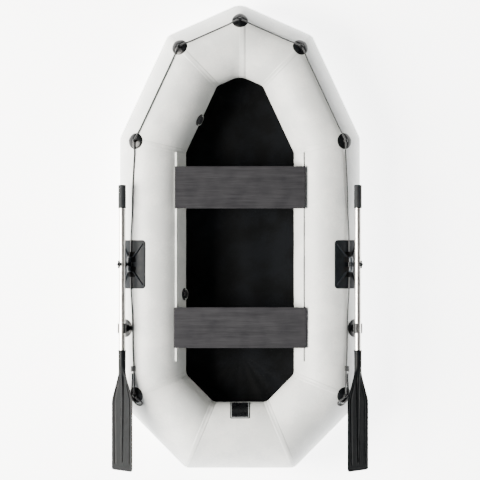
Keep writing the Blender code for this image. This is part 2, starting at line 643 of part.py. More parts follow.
def rope_route(loop):
    """The lifeline's route: from the aft left eyelet up the side, round the bow, to the aft right eyelet."""
    route = []
    for index in (6, 7, 8, 0, 1, 2, 3):
        corner = loop[index]
        if index != 6:
            route += [corner.beside(EYELET_DEG, h, d) for d, h in ((-0.064, 0.0052), (-0.04, 0.0104))]
        else:
            route.append(corner.beside(EYELET_DEG, 0.0104, -0.04))
        route += rounded(corner)
        if index != 3:
            route += [corner.beside(EYELET_DEG, h, d) for d, h in ((0.04, 0.0104), (0.064, 0.0052))]
        else:
            route.append(corner.beside(EYELET_DEG, 0.0104, 0.04))
        if index in (6, 2):
            side, rows = (-1, SIDE_ROPE[::-1]) if index == 6 else (1, SIDE_ROPE)
            route += [side_spot(side, a, y, h).origin for y, a, h in rows]
    return route


def build_rope(loop):
    """The lifeline, as one round cord along its whole route."""
    route = rope_route(loop)
    curve = bpy.data.curves.new("lifeline", "CURVE")
    curve.dimensions, curve.bevel_depth, curve.bevel_resolution = "3D", ROPE_RADIUS, 2
    curve.use_fill_caps = True
    line = curve.splines.new("POLY")
    line.points.add(len(route) - 1)
    for point, place in zip(line.points, route):
        point.co = (*place, 1)
    curve.materials.append(material("lifeline", "rope"))
    bpy.context.scene.collection.objects.link(bpy.data.objects.new("lifeline", curve))


def valve_spots(loop):
    """Where the valves stand: the front one on the left shoulder tube, the rear one on the left side tube."""
    shoulder, a = loop[7], math.radians(VALVE_DEG)
    low = shoulder.here.lerp(loop[8].here, 1 - VALVE_FRONT_SHARE)
    spots = {}
    rear = Vector((-SIDE_X, VALVE_REAR_Y, AXIS_Z))
    for word, centre, way in (("front", low, shoulder.go), ("rear", rear, Vector((0, 1, 0)))):
        out = UP.cross(way)
        normal = out * math.sin(a) + UP * math.cos(a)
        spots[word] = Spot(centre + normal * TUBE_RADIUS, way, normal.cross(way), normal)
    return spots


def build_valves(loop, tubes):
    """Each valve: a flanged body through the tube's wall, a hinged cap, a poppet and its return spring."""
    body_ring, poppet_ring, cap_ring = (
        [(r * 0.001, h * 0.001) for r, h in ring] for ring in (VALVE_BODY, VALVE_POPPET, VALVE_CAP)
    )
    for (word, spot), tube in zip(valve_spots(loop).items(), ("tube_shoulder_left", "tube_side_left")):
        hole = rod(f"valve_hole_{word}", VALVE_HOLE, -0.03, 0.03, spot, "steel", 16)
        combine(tubes[tube], "DIFFERENCE", hole)
        body = lathe(f"valve_body_{word}", body_ring, spot, "rubber", 16)
        bar = block(f"spider_{word}", spot, (-0.0155, -0.002, -0.0075), (0.0155, 0.002, -0.0045))
        hub = rod(f"hub_{word}", 0.005, -0.0076, -0.0044, spot, "rubber", 10)
        ears = [block(f"ear_{hand}_{word}", spot, (low, 0.0245, 0.002), (low + 0.003, 0.0296, 0.013))
                for hand, low in (("a", 0.0065), ("b", -0.0095))]
        combine(body, "UNION", bar, hub, *ears)
        combine(body, "DIFFERENCE", rod(f"guide_{word}", 0.0025 + GAP, -0.009, -0.003, spot, "rubber", 12))
        lathe(f"valve_poppet_{word}", poppet_ring, spot, "metal", 12, spot.origin)
        hinge = spot.at(0, *CAP_HINGE)
        cap = lathe(f"valve_cap_{word}", cap_ring, spot, "rubber", 16, hinge)
        across = Spot(hinge, spot.ey, spot.ez, spot.ex)
        web = block(f"web_{word}", spot, (-0.0055, 0.018, 0.0092), (0.0055, 0.027, 0.0116))
        combine(cap, "UNION", web, rod(f"cap_barrel_{word}", 0.0026, -0.006, 0.006, across, "rubber", 16))

        (low, high), coil, wire, turns = SPRING_HEIGHTS, SPRING_RADIUS, SPRING_WIRE, SPRING_TURNS
        count = int(turns * 9) + 1
        rings = []
        for k in range(count):
            share = k / (count - 1)
            a, h = 2 * math.pi * turns * share, low + wire + (high - low - 2 * wire) * share
            rings.append([
                spot.at((coil + wire * math.cos(b)) * math.cos(a), (coil + wire * math.cos(b)) * math.sin(a),
                        h + wire * math.sin(b)) for b in np.linspace(0, 2 * math.pi, 5, endpoint=False)
            ])
        skin(f"valve_spring_{word}", rings, "steel")


def main():
    clear_scene()
    loop = hull_loop()
    tubes = build_tubes(loop)
    build_bottom(loop)
    build_plate()
    build_rails()
    build_seats()
    build_oarlocks()
    build_oars()
    build_holders()
    build_eyelets(loop)
    build_rope(loop)
    build_valves(loop, tubes)


main()
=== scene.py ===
"""Dresses an inflatable rowing boat: air tubes, fabric bottom, seats, oarlocks, oars, lifeline and valves.

Metres, +Z up, +Y towards the bow, and the boat stands on z = 0. Every surface is a formula on a grid.
"""

import logging
import math
from dataclasses import dataclass, field
from enum import Enum

import bmesh
import bpy
import numpy as np
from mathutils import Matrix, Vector


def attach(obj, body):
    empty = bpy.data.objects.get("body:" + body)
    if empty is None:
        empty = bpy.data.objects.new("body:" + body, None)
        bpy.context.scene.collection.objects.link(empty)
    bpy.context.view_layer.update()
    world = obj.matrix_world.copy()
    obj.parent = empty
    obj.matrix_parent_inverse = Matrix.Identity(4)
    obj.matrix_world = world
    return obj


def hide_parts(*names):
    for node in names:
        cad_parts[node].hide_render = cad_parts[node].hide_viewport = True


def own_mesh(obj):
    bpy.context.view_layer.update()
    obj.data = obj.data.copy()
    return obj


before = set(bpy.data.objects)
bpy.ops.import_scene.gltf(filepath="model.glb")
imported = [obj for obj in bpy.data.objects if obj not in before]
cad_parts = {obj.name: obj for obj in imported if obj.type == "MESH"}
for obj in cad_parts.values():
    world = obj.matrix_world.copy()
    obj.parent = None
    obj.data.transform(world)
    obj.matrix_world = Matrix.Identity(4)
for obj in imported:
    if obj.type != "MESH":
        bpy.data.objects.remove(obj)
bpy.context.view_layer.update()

logging.basicConfig(level=logging.INFO, format="%(name)s: %(message)s")
LOG = logging.getLogger("rowing_boat")
Array = np.ndarray
UP = np.array((0.0, 0.0, 1.0))
FORWARD = np.array((0.0, 1.0, 0.0))
MM = 0.001


class Side(Enum):
    """The two sides of the boat, with the sign of x on each."""

    LEFT = -1
    RIGHT = 1

    @property
    def word(self) -> str:
        """The side's name in the names of nodes and bodies."""
        return self.name.lower()


class Lay(Enum):
    """Which coordinates a finish follows: the boat's own, or the cloth's own map in metres."""

    BOAT = "Object"
    CLOTH = "UV"


class Grain(Enum):
    """The direction of a drawn or sawn grain: how much the pattern is stretched along x, y and z."""

    ALONG = (1.0, 0.02, 1.0)
    ACROSS = (0.02, 1.0, 1.0)


# ---------------------------------------------------------------- geometry tools


def unit(vectors: Array) -> Array:
    """Each vector divided by its own length."""
    return vectors / np.linalg.norm(vectors, axis=-1, keepdims=True)


@dataclass(frozen=True)
class Axes:
    """A local frame on a surface: its third axis points away from it."""

    origin: Array
    ex: Array
    ey: Array
    ez: Array

    def at(self, x: Array, y: Array, z: Array) -> Array:
        """Points with local coordinates: origin + x·ex + y·ey + z·ez.

        Args:
            x, y, z: numbers or arrays of one shape.
        Returns:
            An array of that shape with a last axis of three.
        """
        x, y, z = (a[..., None] for a in np.broadcast_arrays(x, y, z))
        return self.origin + x * self.ex + y * self.ey + z * self.ez

    def moved(self, x: float, y: float, z: float) -> "Axes":
        """The same axes at another local point."""
        return Axes(self.at(x, y, z), self.ex, self.ey, self.ez)

    def turned(self) -> "Axes":
        """The axes turned so that the third lies along the old second."""
        return Axes(self.origin, self.ex, self.ez, self.ey)


@dataclass
class Grid:
    """A surface as a grid of points, rows by columns.

    Attributes:
        points: array (rows, columns, 3).
        ring_rows, ring_columns: whether the last row or column joins the first.
        poles: whether the first and last rows are closed at their middles.
        slot: the index of its material, or an array (rows, columns) of one for each face.
        cloth: optional array (rows, columns + 1, 2) of metres on the cloth.
    """

    points: Array
    ring_rows: bool = False
    ring_columns: bool = True
    poles: bool = False
    slot: int | Array = 0
    cloth: Array | None = None

    def closed(self) -> "Grid":
        """The grid with a row of equal points added at each end, which merge to a pole.

        Returns:
            A new grid, or this one if it has no poles.
        """
        if not self.poles:
            return self
        first, last = (np.broadcast_to(row.mean(axis=0), row.shape)
                       for row in (self.points[0], self.points[-1]))
        points = np.concatenate([first[None], self.points, last[None]])
        cloth, slot = self.cloth, self.slot
        if cloth is not None:
            cloth = np.concatenate([cloth[:1], cloth, cloth[-1:]])
        if np.ndim(slot):
            slot = np.concatenate([slot[:1], slot, slot[-1:]])
        return Grid(points, self.ring_rows, self.ring_columns, False, slot, cloth)

    def faces(self) -> tuple[Array, Array]:
        """The four corners of every face: point numbers, and places in the cloth map.

        Returns:
            Two arrays (faces, 4, ...): indices into the flattened points, and cloth coordinates.
        """
        rows, columns = self.points.shape[:2]
        i = np.arange(rows if self.ring_rows else rows - 1)[:, None]
        j = np.arange(columns if self.ring_columns else columns - 1)[None, :]
        steps = ((0, 0), (0, 1), (1, 1), (1, 0))
        corners = np.stack([(i + a) % rows * columns + (j + b) % columns for a, b in steps], -1)
        if self.cloth is None:
            flat = np.zeros((*corners.shape, 2))
        else:
            high = self.cloth.shape[0] - 1
            flat = np.stack([self.cloth[np.minimum(i + a, high), j + b] for a, b in steps], -2)
        return corners.reshape(-1, 4), flat.reshape(-1, 4, 2)


def make_piece(name: str, grids: list[Grid], finishes: list[bpy.types.Material], sharp: float = 38.0,
               facing: Array | None = None) -> bpy.types.Object:
    """Puts grids into one mesh object at the origin, joined where they meet and facing outwards.

    Args:
        name: the piece's name.
        grids: its surfaces.
        finishes: its materials, in the order of the grids' slots.
        sharp: the angle in degrees past which an edge isn't smoothed.
        facing: for an open surface, the way that it faces; a closed one faces out.
    Returns:
        The new object.
    """
    grids = [g.closed() for g in grids]
    starts = np.cumsum([0] + [g.points.shape[0] * g.points.shape[1] for g in grids])
    corners, cloth, slots = [], [], []
    for start, grid in zip(starts, grids):
        index, flat = grid.faces()
        corners.append(index + start)
        cloth.append(flat)
        slots.append(np.broadcast_to(np.ravel(grid.slot), len(index)) if np.ndim(grid.slot) == 0
                     else np.ravel(grid.slot))
    mesh = bpy.data.meshes.new(name)
    points = np.concatenate([g.points.reshape(-1, 3) for g in grids])
    mesh.from_pydata(points.tolist(), [], np.concatenate(corners).tolist())
    mesh.uv_layers.new(name="cloth").data.foreach_set("uv", np.concatenate(cloth).ravel())
    mesh.polygons.foreach_set("material_index", np.concatenate(slots))
    bm = bmesh.new()
    bm.from_mesh(mesh)
    bmesh.ops.remove_doubles(bm, verts=bm.verts, dist=2e-6)
    bmesh.ops.recalc_face_normals(bm, faces=bm.faces)
    if facing is None:
        inward = bm.calc_volume(signed=True) < 0
    else:
        inward = sum((f.normal * f.calc_area() for f in bm.faces), Vector()).dot(Vector(facing)) < 0
    if inward:
        bmesh.ops.reverse_faces(bm, faces=bm.faces)
    bm.to_mesh(mesh)
    bm.free()
    for finish in finishes:
        mesh.materials.append(finish)
    mesh.shade_smooth()
    mesh.set_sharp_from_angle(angle=math.radians(sharp))
    piece = bpy.data.objects.new(name, mesh)
    bpy.context.scene.collection.objects.link(piece)
    return piece


def fit(piece: bpy.types.Object, body: str, slot: str, *nodes: str) -> bpy.types.Object:
    """Lets a piece ride on a body, and lets it stand for CAD nodes, which it hides.

    Args:
        piece: the object.
        body: the body that it moves with.
        slot: the record's material slot; not used.
        nodes: the CAD nodes that it replaces.
    Returns:
        The same object.
    """
    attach(piece, body)
    if nodes:
        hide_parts(*nodes)
    LOG.info("%s rides on %s, %d points", piece.name, body, len(piece.data.vertices))
    return piece


def soften(corners: list[tuple[float, float]], radius: float, steps: int = 4, ring: bool = False) -> Array:
    """A polyline with its corners rounded: each corner becomes the curve (1-t)²a + 2t(1-t)c + t²b.

    Args:
        corners: the polyline's points.
        radius: how far from a corner its rounding starts, at most 45% of the shorter side.
        steps: points on a rounding, less one.
        ring: whether the line is closed.
    Returns:
        Array (points, 2).
    """
    c = np.array(corners, float)
    before, after = np.roll(c, 1, axis=0) - c, np.roll(c, -1, axis=0) - c
    lengths = [np.linalg.norm(v, axis=1, keepdims=True) + 1e-12 for v in (before, after)]
    reach = np.minimum(radius, 0.45 * np.minimum(*lengths))
    a, b = c + before / lengths[0] * reach, c + after / lengths[1] * reach
    t = np.linspace(0, 1, steps + 1)[None, :, None]
    curve = a[:, None] * (1 - t) ** 2 + 2 * t * (1 - t) * c[:, None] + b[:, None] * t**2
    if ring:
        return curve.reshape(-1, 2)
    return np.concatenate([c[:1], curve[1:-1].reshape(-1, 2), c[-1:]])


def turned(profile: Array, axes: Axes, segments: int = 48, ripple: tuple[float, int] = (0.0, 0),
           slot: int = 0, ring: bool = False) -> Grid:
    """A surface of revolution: (r·cos a, r·sin a, h) for each (r, h) of the profile.

    Args:
        profile: array (points, 2) of radius and height.
        axes: its third axis is the axis of turning.
        segments: points round the axis.
        ripple: depth and number of flutes; the radius gains depth·cos(number·a) where it is largest.
        slot: material index.
        ring: whether the profile is a closed ring, as on a washer or a pipe.
    Returns:
        The grid.
    """
    a = np.linspace(0, 2 * np.pi, segments, endpoint=False)[None, :]
    r, h = profile[:, :1], profile[:, 1:]
    depth, number = ripple
    r = r + depth * np.cos(number * a) * (r > 0.93 * r.max())
    return Grid(axes.at(r * np.cos(a), r * np.sin(a), h + 0 * a), ring_rows=ring, slot=slot)


def swept(outline: Array, axes: Axes, stations: Array, shrink: Array | None = None, slot: int = 0) -> Grid:
    """A closed outline of (x, z) pushed along the second axis, with rounded ends.

    Args:
        outline: array (points, 2).
        axes: the local frame.
        stations: places along the second axis.
        shrink: at each station, how much of the outline's size is lost about its middle.
        slot: material index.
    Returns:
        The grid, closed at both ends.
    """
    scale = 1 - (np.zeros(len(stations)) if shrink is None else np.asarray(shrink))
    middle = outline.mean(axis=0)
    xz = middle + (outline - middle)[None] * scale[:, None, None]
    y = np.broadcast_to(np.asarray(stations, float)[:, None], xz.shape[:2])
    return Grid(axes.at(xz[..., 0], y, xz[..., 1]), poles=True, slot=slot)


def smooth_route(points: Array, spacing: float, ease: int = 9) -> Array:
    """A polyline walked at an even spacing, each point then averaged with its neighbours by a raised cosine.

    Args:
        points: array (n, 3).
        spacing: metres between the new points.
        ease: how many neighbours on each side take part.
    Returns:
        Array (m, 3) with the same two ends.
    """
    along = np.concatenate([[0], np.cumsum(np.linalg.norm(np.diff(points, axis=0), axis=1))])
    even = np.linspace(0, along[-1], max(3, int(along[-1] / spacing)))
    line = np.stack([np.interp(even, along, points[:, k]) for k in range(3)], -1)
    weight = np.hanning(2 * ease + 3)[1:-1]
    # each end is mirrored through its last point, so the line keeps its ends
    padded = np.concatenate([2 * line[:1] - line[ease:0:-1], line, 2 * line[-1:] - line[-2 : -ease - 2 : -1]])
    return np.stack([np.convolve(padded[:, k], weight / weight.sum(), "valid") for k in range(3)], -1)


def tube_along(route: Array, radius: float, segments: int = 14, upright: Array = UP,
               ring: bool = False) -> Grid:
    """A round cord: at each point of the route a circle square to it, side·cos a + top·sin a.

    Args:
        route: array (n, 3).
        radius: the cord's radius.
        segments: points round it.
        upright: the way that the top of every circle leans to.
        ring: whether the route is closed.
    Returns:
        The grid, with a cloth map of turns round and metres along.
    """
    step = np.roll(route, -1, axis=0) - np.roll(route, 1, axis=0) if ring else np.gradient(route, axis=0)
    way = unit(step)
    across = unit(np.cross(way, upright))
    top = np.cross(across, way)
    a = np.linspace(0, 2 * np.pi, segments, endpoint=False)[None, :, None]
    points = route[:, None] + radius * (across[:, None] * np.cos(a) + top[:, None] * np.sin(a))
    along = np.concatenate([[0], np.cumsum(np.linalg.norm(np.diff(route, axis=0), axis=1))])
    turns = np.linspace(0, 1, segments + 1)
    cloth = np.stack(np.broadcast_arrays(turns[None, :], along[:, None]), -1)
    return Grid(points, ring_rows=ring, poles=not ring, cloth=cloth)


def rounded_box(low: tuple, high: tuple, axes: Axes, power: float = 5.0, slot: int = 0) -> Grid:
    """A soft-edged block: the superellipsoid (c^(2/p)·C^(2/p), s^(2/p)·C^(2/p), S^(2/p)) of its half sizes.

    Args:
        low, high: its local corners.
        axes: the local frame.
        power: the exponent p; a larger one gives squarer edges.
        slot: material index.
    Returns:
        The grid, closed at both poles.
    """
    low, high = np.array(low, float), np.array(high, float)
    a = np.linspace(-np.pi, np.pi, 48, endpoint=False)[None, :]
    b = np.linspace(-np.pi / 2, np.pi / 2, 25)[:, None]

    def bend(value: Array) -> Array:
        """The value's size raised to 2/p, with its own sign."""
        return np.sign(value) * np.abs(value) ** (2 / power)

    local = np.stack(np.broadcast_arrays(bend(np.cos(b)) * bend(np.cos(a)), bend(np.cos(b)) * bend(np.sin(a)),
                                         bend(np.sin(b)) + 0 * a), -1)
    local = (low + high) / 2 + local * (high - low) / 2
    return Grid(axes.at(local[..., 0], local[..., 1], local[..., 2]), slot=slot)


# ---------------------------------------------------------------- finishes


def linear(code: str) -> tuple[float, float, float, float]:
    """An sRGB hex colour as linear red, green, blue and alpha: ((c + 0.055) / 1.055)^2.4 above 0.04045."""
    parts = [int(code[k : k + 2], 16) / 255 for k in (1, 3, 5)]
    return (*(c / 12.92 if c <= 0.04045 else ((c + 0.055) / 1.055) ** 2.4 for c in parts), 1.0)


def add_node(tree: bpy.types.NodeTree, kind: str, settings: dict | None = None,
             links: dict | None = None) -> bpy.types.Node:
    """Adds one node to a material.

    Args:
        tree: the material's node tree.
        kind: the node's type, without its prefix.
        settings: values by the name of an attribute or else of an input.
        links: output sockets by the name or number of the input that they feed.
    Returns:
        The node.
    """
    node = tree.nodes.new("ShaderNode" + kind)
    for key, value in (settings or {}).items():
        if isinstance(key, str) and hasattr(node, key):
            setattr(node, key, value)
        else:
            node.inputs[key].default_value = value
    for key, socket in (links or {}).items():
        tree.links.new(socket, node.inputs[key])
    return node


def start_material(title: str) -> tuple[bpy.types.Material, bpy.types.NodeTree, bpy.types.Node]:
    """A new material with its tree and its Principled shader.

    Args:
        title: its name.
    Returns:
        The material, its tree and its shader.
    """
    made = bpy.data.materials.new(title)
    made.use_nodes = True
    return made, made.node_tree, made.node_tree.nodes["Principled BSDF"]


def bands(period: float) -> float:
    """The scale of a straight Wave texture whose bands stand that many metres apart: 2π / (20·period)."""
    return 2 * math.pi / (20 * period)


def spread(tree: bpy.types.NodeTree, socket: bpy.types.NodeSocket, low: float,
           high: float) -> bpy.types.NodeSocket:
    """A pattern's middle range (0.35 to 0.65) stretched to run from low to high."""
    node = add_node(tree, "MapRange", {"From Min": 0.35, "From Max": 0.65, "To Min": low, "To Max": high},
                    {"Value": socket})
    return node.outputs["Result"]


def blend_colours(tree: bpy.types.NodeTree, factor: bpy.types.NodeSocket, low: str,
                  high: str) -> bpy.types.Node:
    """A mix of two hex colours by a pattern, as a two-stop ramp.

    Args:
        tree: the material's nodes.
        factor: the pattern, from 0 to 1.
        low, high: sRGB hex at each end of it.
    Returns:
        The ramp.
    """
    ramp = add_node(tree, "ValToRGB", links={"Fac": factor})
    ramp.color_ramp.elements[0].position, ramp.color_ramp.elements[1].position = 0.32, 0.68
    ramp.color_ramp.elements[0].color, ramp.color_ramp.elements[1].color = linear(low), linear(high)
    return ramp


@dataclass(frozen=True)
class WeldedFabric:
    """PVC-coated polyester, welded: a satin film over a plain weave that shows through faintly."""

    title: str
    light: str
    shade: str
    roughness: tuple[float, float]
    # threads are about 1 mm apart on the real cloth, drawn 2.5 mm apart so that they show
    thread: float = 2.5 * MM
    relief: float = 0.05 * MM
    lay: Lay = Lay.CLOTH
    gloss: float = 0.5

    def dress(self) -> bpy.types.Material:
        """Builds the material: cloudy colour, weave bump, slack dimples and rubbed patches of gloss.

        Returns:
            The material.
        """
        made, tree, shader = start_material(self.title)
        coords = add_node(tree, "TexCoord")
        cloth, boat = coords.outputs[self.lay.value], coords.outputs["Object"]
        warp = add_node(tree, "TexWave", {"bands_direction": "X", "Scale": bands(self.thread),
                                          "Distortion": 0.6, "Detail": 1.0}, {"Vector": cloth})
        weft = add_node(tree, "TexWave", {"bands_direction": "Y", "Scale": bands(self.thread),
                                          "Distortion": 0.6, "Detail": 1.0}, {"Vector": cloth})
        weave = add_node(tree, "Math", {"operation": "MULTIPLY"},
                         {0: warp.outputs["Fac"], 1: weft.outputs["Fac"]})
        # handling stains drift over about 160 mm, and dust over 9 mm
        stain = add_node(tree, "TexNoise", {"Scale": 1 / 0.16, "Detail": 5.0, "Roughness": 0.6},
                         {"Vector": boat})
        dust = add_node(tree, "TexNoise", {"Scale": 1 / 0.009, "Detail": 4.0}, {"Vector": boat})
        mixed = add_node(tree, "Math", {"operation": "MULTIPLY_ADD", 1: 0.35},
                         {0: dust.outputs["Fac"], 2: stain.outputs["Fac"]})
        tint = add_node(tree, "MapRange", {"From Min": 0.45, "From Max": 0.95}, {"Value": mixed.outputs[0]})
        tree.links.new(blend_colours(tree, tint.outputs["Result"], self.shade, self.light).outputs["Color"],
                       shader.inputs["Base Color"])
        tree.links.new(spread(tree, mixed.outputs[0], *self.roughness), shader.inputs["Roughness"])
        # the film follows slack spots in the cloth, about 45 mm across
        slack = add_node(tree, "TexNoise", {"Scale": 1 / 0.045, "Detail": 2.0}, {"Vector": boat})
        soft = add_node(tree, "Bump", {"Strength": 0.5, "Distance": 0.5 * MM},
                        {"Height": slack.outputs["Fac"]})
        fine = add_node(tree, "Bump", {"Strength": 0.8, "Distance": self.relief},
                        {"Height": weave.outputs[0], "Normal": soft.outputs["Normal"]})
        tree.links.new(fine.outputs["Normal"], shader.inputs["Normal"])
        shader.inputs["IOR"].default_value = 1.53
        shader.inputs["Specular IOR Level"].default_value = self.gloss
        return made


@dataclass(frozen=True)
class Moulded:
    """A moulded rubber or plastic: fine pebble grain, rubbed high spots and a little dust."""

    title: str
    colour: str
    rubbed: str
    roughness: tuple[float, float]
    grain: float = 1.2 * MM
    relief: float = 0.06 * MM
    ior: float = 1.5
    gloss: float = 0.5

    def dress(self) -> bpy.types.Material:
        """Builds the material: two sizes of grain, and colour and gloss that drift together.

        Returns:
            The material.
        """
        made, tree, shader = start_material(self.title)
        boat = add_node(tree, "TexCoord").outputs["Object"]
        wear = add_node(tree, "TexNoise", {"Scale": 1 / 0.028, "Detail": 6.0, "Roughness": 0.65},
                        {"Vector": boat})
        pebble = add_node(tree, "TexVoronoi", {"Scale": 1 / self.grain}, {"Vector": boat})
        flow = add_node(tree, "TexNoise", {"Scale": 1 / 0.006, "Detail": 3.0}, {"Vector": boat})
        tree.links.new(blend_colours(tree, wear.outputs["Fac"], self.colour, self.rubbed).outputs["Color"],
                       shader.inputs["Base Color"])
        tree.links.new(spread(tree, wear.outputs["Fac"], *self.roughness), shader.inputs["Roughness"])
        height = add_node(tree, "Math", {"operation": "MULTIPLY_ADD", 1: 0.5},
                          {0: flow.outputs["Fac"], 2: pebble.outputs["Distance"]})
        bump = add_node(tree, "Bump", {"Strength": 0.7, "Distance": self.relief},
                        {"Height": height.outputs[0]})
        tree.links.new(bump.outputs["Normal"], shader.inputs["Normal"])
        shader.inputs["IOR"].default_value = self.ior
        shader.inputs["Specular IOR Level"].default_value = self.gloss
        return made


@dataclass(frozen=True)
class Drawn:
    """Drawn and anodised aluminium: fine streaks along the draw, and handling marks."""

    title: str
    light: str
    shade: str
    roughness: tuple[float, float]
    grain: Grain = Grain.ALONG

    def dress(self) -> bpy.types.Material:
        """Builds the material: streaks stretched along the draw feed colour, gloss and a shallow bump.

        Returns:
            The material.
        """
        made, tree, shader = start_material(self.title)
        boat = add_node(tree, "TexCoord").outputs["Object"]
        drawn = add_node(tree, "Mapping", {"Scale": self.grain.value}, {"Vector": boat})
        # draw lines are about 0.5 mm apart
        streak = add_node(tree, "TexNoise", {"Scale": 1 / (0.5 * MM), "Detail": 3.0},
                          {"Vector": drawn.outputs[0]})
        marks = add_node(tree, "TexNoise", {"Scale": 1 / 0.02, "Detail": 6.0, "Roughness": 0.7},
                         {"Vector": boat})
        mixed = add_node(tree, "Math", {"operation": "MULTIPLY_ADD", 1: 0.5},
                         {0: streak.outputs["Fac"], 2: marks.outputs["Fac"]})
        level = add_node(tree, "Math", {"operation": "MULTIPLY", 1: 0.667}, {0: mixed.outputs[0]})
        tree.links.new(blend_colours(tree, level.outputs[0], self.shade, self.light).outputs["Color"],
                       shader.inputs["Base Color"])
        tree.links.new(spread(tree, level.outputs[0], *self.roughness), shader.inputs["Roughness"])
        bump = add_node(tree, "Bump", {"Strength": 0.5, "Distance": 0.02 * MM},
                        {"Height": streak.outputs["Fac"]})
        tree.links.new(bump.outputs["Normal"], shader.inputs["Normal"])
        shader.inputs["Metallic"].default_value = 1.0
        return made


@dataclass(frozen=True)
class FacedPlywood:
    """Film-faced plywood: a phenolic film pressed over cross-wise veneer, whose pores print through."""

    title: str = "film-faced plywood"
    colour: str = "#212124"
    # the paler tone of real wear on the film
    wear_and_painted_light: str = "#2e2e31"

    def dress(self) -> bpy.types.Material:
        """Builds the material: long pores across the boat, 3 mm apart, and paler rubbing.

        Returns:
            The material.
        """
        made, tree, shader = start_material(self.title)
        boat = add_node(tree, "TexCoord").outputs["Object"]
        laid = add_node(tree, "Mapping", {"Scale": (0.03, 1.0, 1.0)}, {"Vector": boat})
        pores = add_node(tree, "TexNoise", {"Scale": 1 / (3.2 * MM), "Detail": 5.0, "Roughness": 0.7},
                         {"Vector": laid.outputs[0]})
        figure = add_node(tree, "TexNoise", {"Scale": 1 / (14 * MM), "Detail": 3.0},
                          {"Vector": laid.outputs[0]})
        wear = add_node(tree, "TexNoise", {"Scale": 1 / 0.07, "Detail": 5.0}, {"Vector": boat})
        lines = add_node(tree, "Math", {"operation": "MULTIPLY_ADD", 1: 0.6},
                         {0: figure.outputs["Fac"], 2: pores.outputs["Fac"]})
        total = add_node(tree, "Math", {"operation": "MULTIPLY_ADD", 1: 0.35},
                         {0: wear.outputs["Fac"], 2: lines.outputs[0]})
        level = add_node(tree, "MapRange", {"From Min": 0.45, "From Max": 1.5}, {"Value": total.outputs[0]})
        tree.links.new(blend_colours(tree, level.outputs["Result"], self.colour, self.wear_and_painted_light).outputs["Color"],
                       shader.inputs["Base Color"])
        tree.links.new(spread(tree, wear.outputs["Fac"], 0.42, 0.6), shader.inputs["Roughness"])
        shader.inputs["Specular IOR Level"].default_value = 0.15
        bump = add_node(tree, "Bump", {"Strength": 0.6, "Distance": 0.12 * MM},
                        {"Height": pores.outputs["Fac"]})
        tree.links.new(bump.outputs["Normal"], shader.inputs["Normal"])
        return made


@dataclass(frozen=True)
class PlyEdge:
    """The sawn edge of plywood: veneers of alternate grain under a dark sealer."""

    title: str = "sealed plywood edge"

    def dress(self) -> bpy.types.Material:
        """Builds the material: bands 1.5 mm high, broken by end grain.

        Returns:
            The material.
        """
        made, tree, shader = start_material(self.title)
        boat = add_node(tree, "TexCoord").outputs["Object"]
        plies = add_node(tree, "TexWave", {"bands_direction": "Z", "Scale": bands(3 * MM), "Distortion": 0.8,
                                           "Detail Scale": 8.0}, {"Vector": boat})
        pores = add_node(tree, "TexNoise", {"Scale": 1 / (0.9 * MM), "Detail": 4.0}, {"Vector": boat})
        level = add_node(tree, "Math", {"operation": "MULTIPLY"},
                         {0: plies.outputs["Fac"], 1: pores.outputs["Fac"]})
        tree.links.new(blend_colours(tree, level.outputs[0], "#232122", "#4a443f").outputs["Color"],
                       shader.inputs["Base Color"])
        tree.links.new(spread(tree, pores.outputs["Fac"], 0.55, 0.8), shader.inputs["Roughness"])
        bump = add_node(tree, "Bump", {"Strength": 0.6, "Distance": 0.2 * MM}, {"Height": level.outputs[0]})
        tree.links.new(bump.outputs["Normal"], shader.inputs["Normal"])
        return made


@dataclass(frozen=True)
class Braid:
    """Braided polypropylene rope: strands that cross on a slant, with a dull waxy sheen."""

    title: str = "braided polypropylene rope"
    colour: str = "#0c0e0f"
    # the strands' crowns, painted paler as a painted highlight
    crown: str = "#1b1e20"
    strands: float = 8.0
    pitch: float = 9 * MM

    def dress(self) -> bpy.types.Material:
        """Builds the material: two sets of slanted waves on the cord's own map, one each way.

        Returns:
            The material.
        """
        made, tree, shader = start_material(self.title)
        cloth = add_node(tree, "TexCoord").outputs["UV"]
        waves = []
        for way in (1, -1):
            laid = add_node(tree, "Mapping", {"Scale": (self.strands, way / self.pitch, 1.0)},
                            {"Vector": cloth})
            # a slanted Wave repeats when x + y grows by 2π / (10·scale), so this scale gives one strand
            waves.append(add_node(tree, "TexWave", {"bands_direction": "DIAGONAL", "Scale": 2 * math.pi / 10},
                                  {"Vector": laid.outputs[0]}))
        crown = add_node(tree, "Math", {"operation": "MAXIMUM"},
                         {0: waves[0].outputs["Fac"], 1: waves[1].outputs["Fac"]})
        # the strands' crowns are painted paler as a painted highlight, and the gaps between them darker as
        # painted shade
        tree.links.new(blend_colours(tree, crown.outputs[0], self.colour, self.crown).outputs["Color"],
                       shader.inputs["Base Color"])
        tree.links.new(spread(tree, crown.outputs[0], 0.75, 0.55), shader.inputs["Roughness"])
        bump = add_node(tree, "Bump", {"Strength": 0.9, "Distance": 0.5 * MM}, {"Height": crown.outputs[0]})
        tree.links.new(bump.outputs["Normal"], shader.inputs["Normal"])
        shader.inputs["Sheen Weight"].default_value = 0.2
        return made


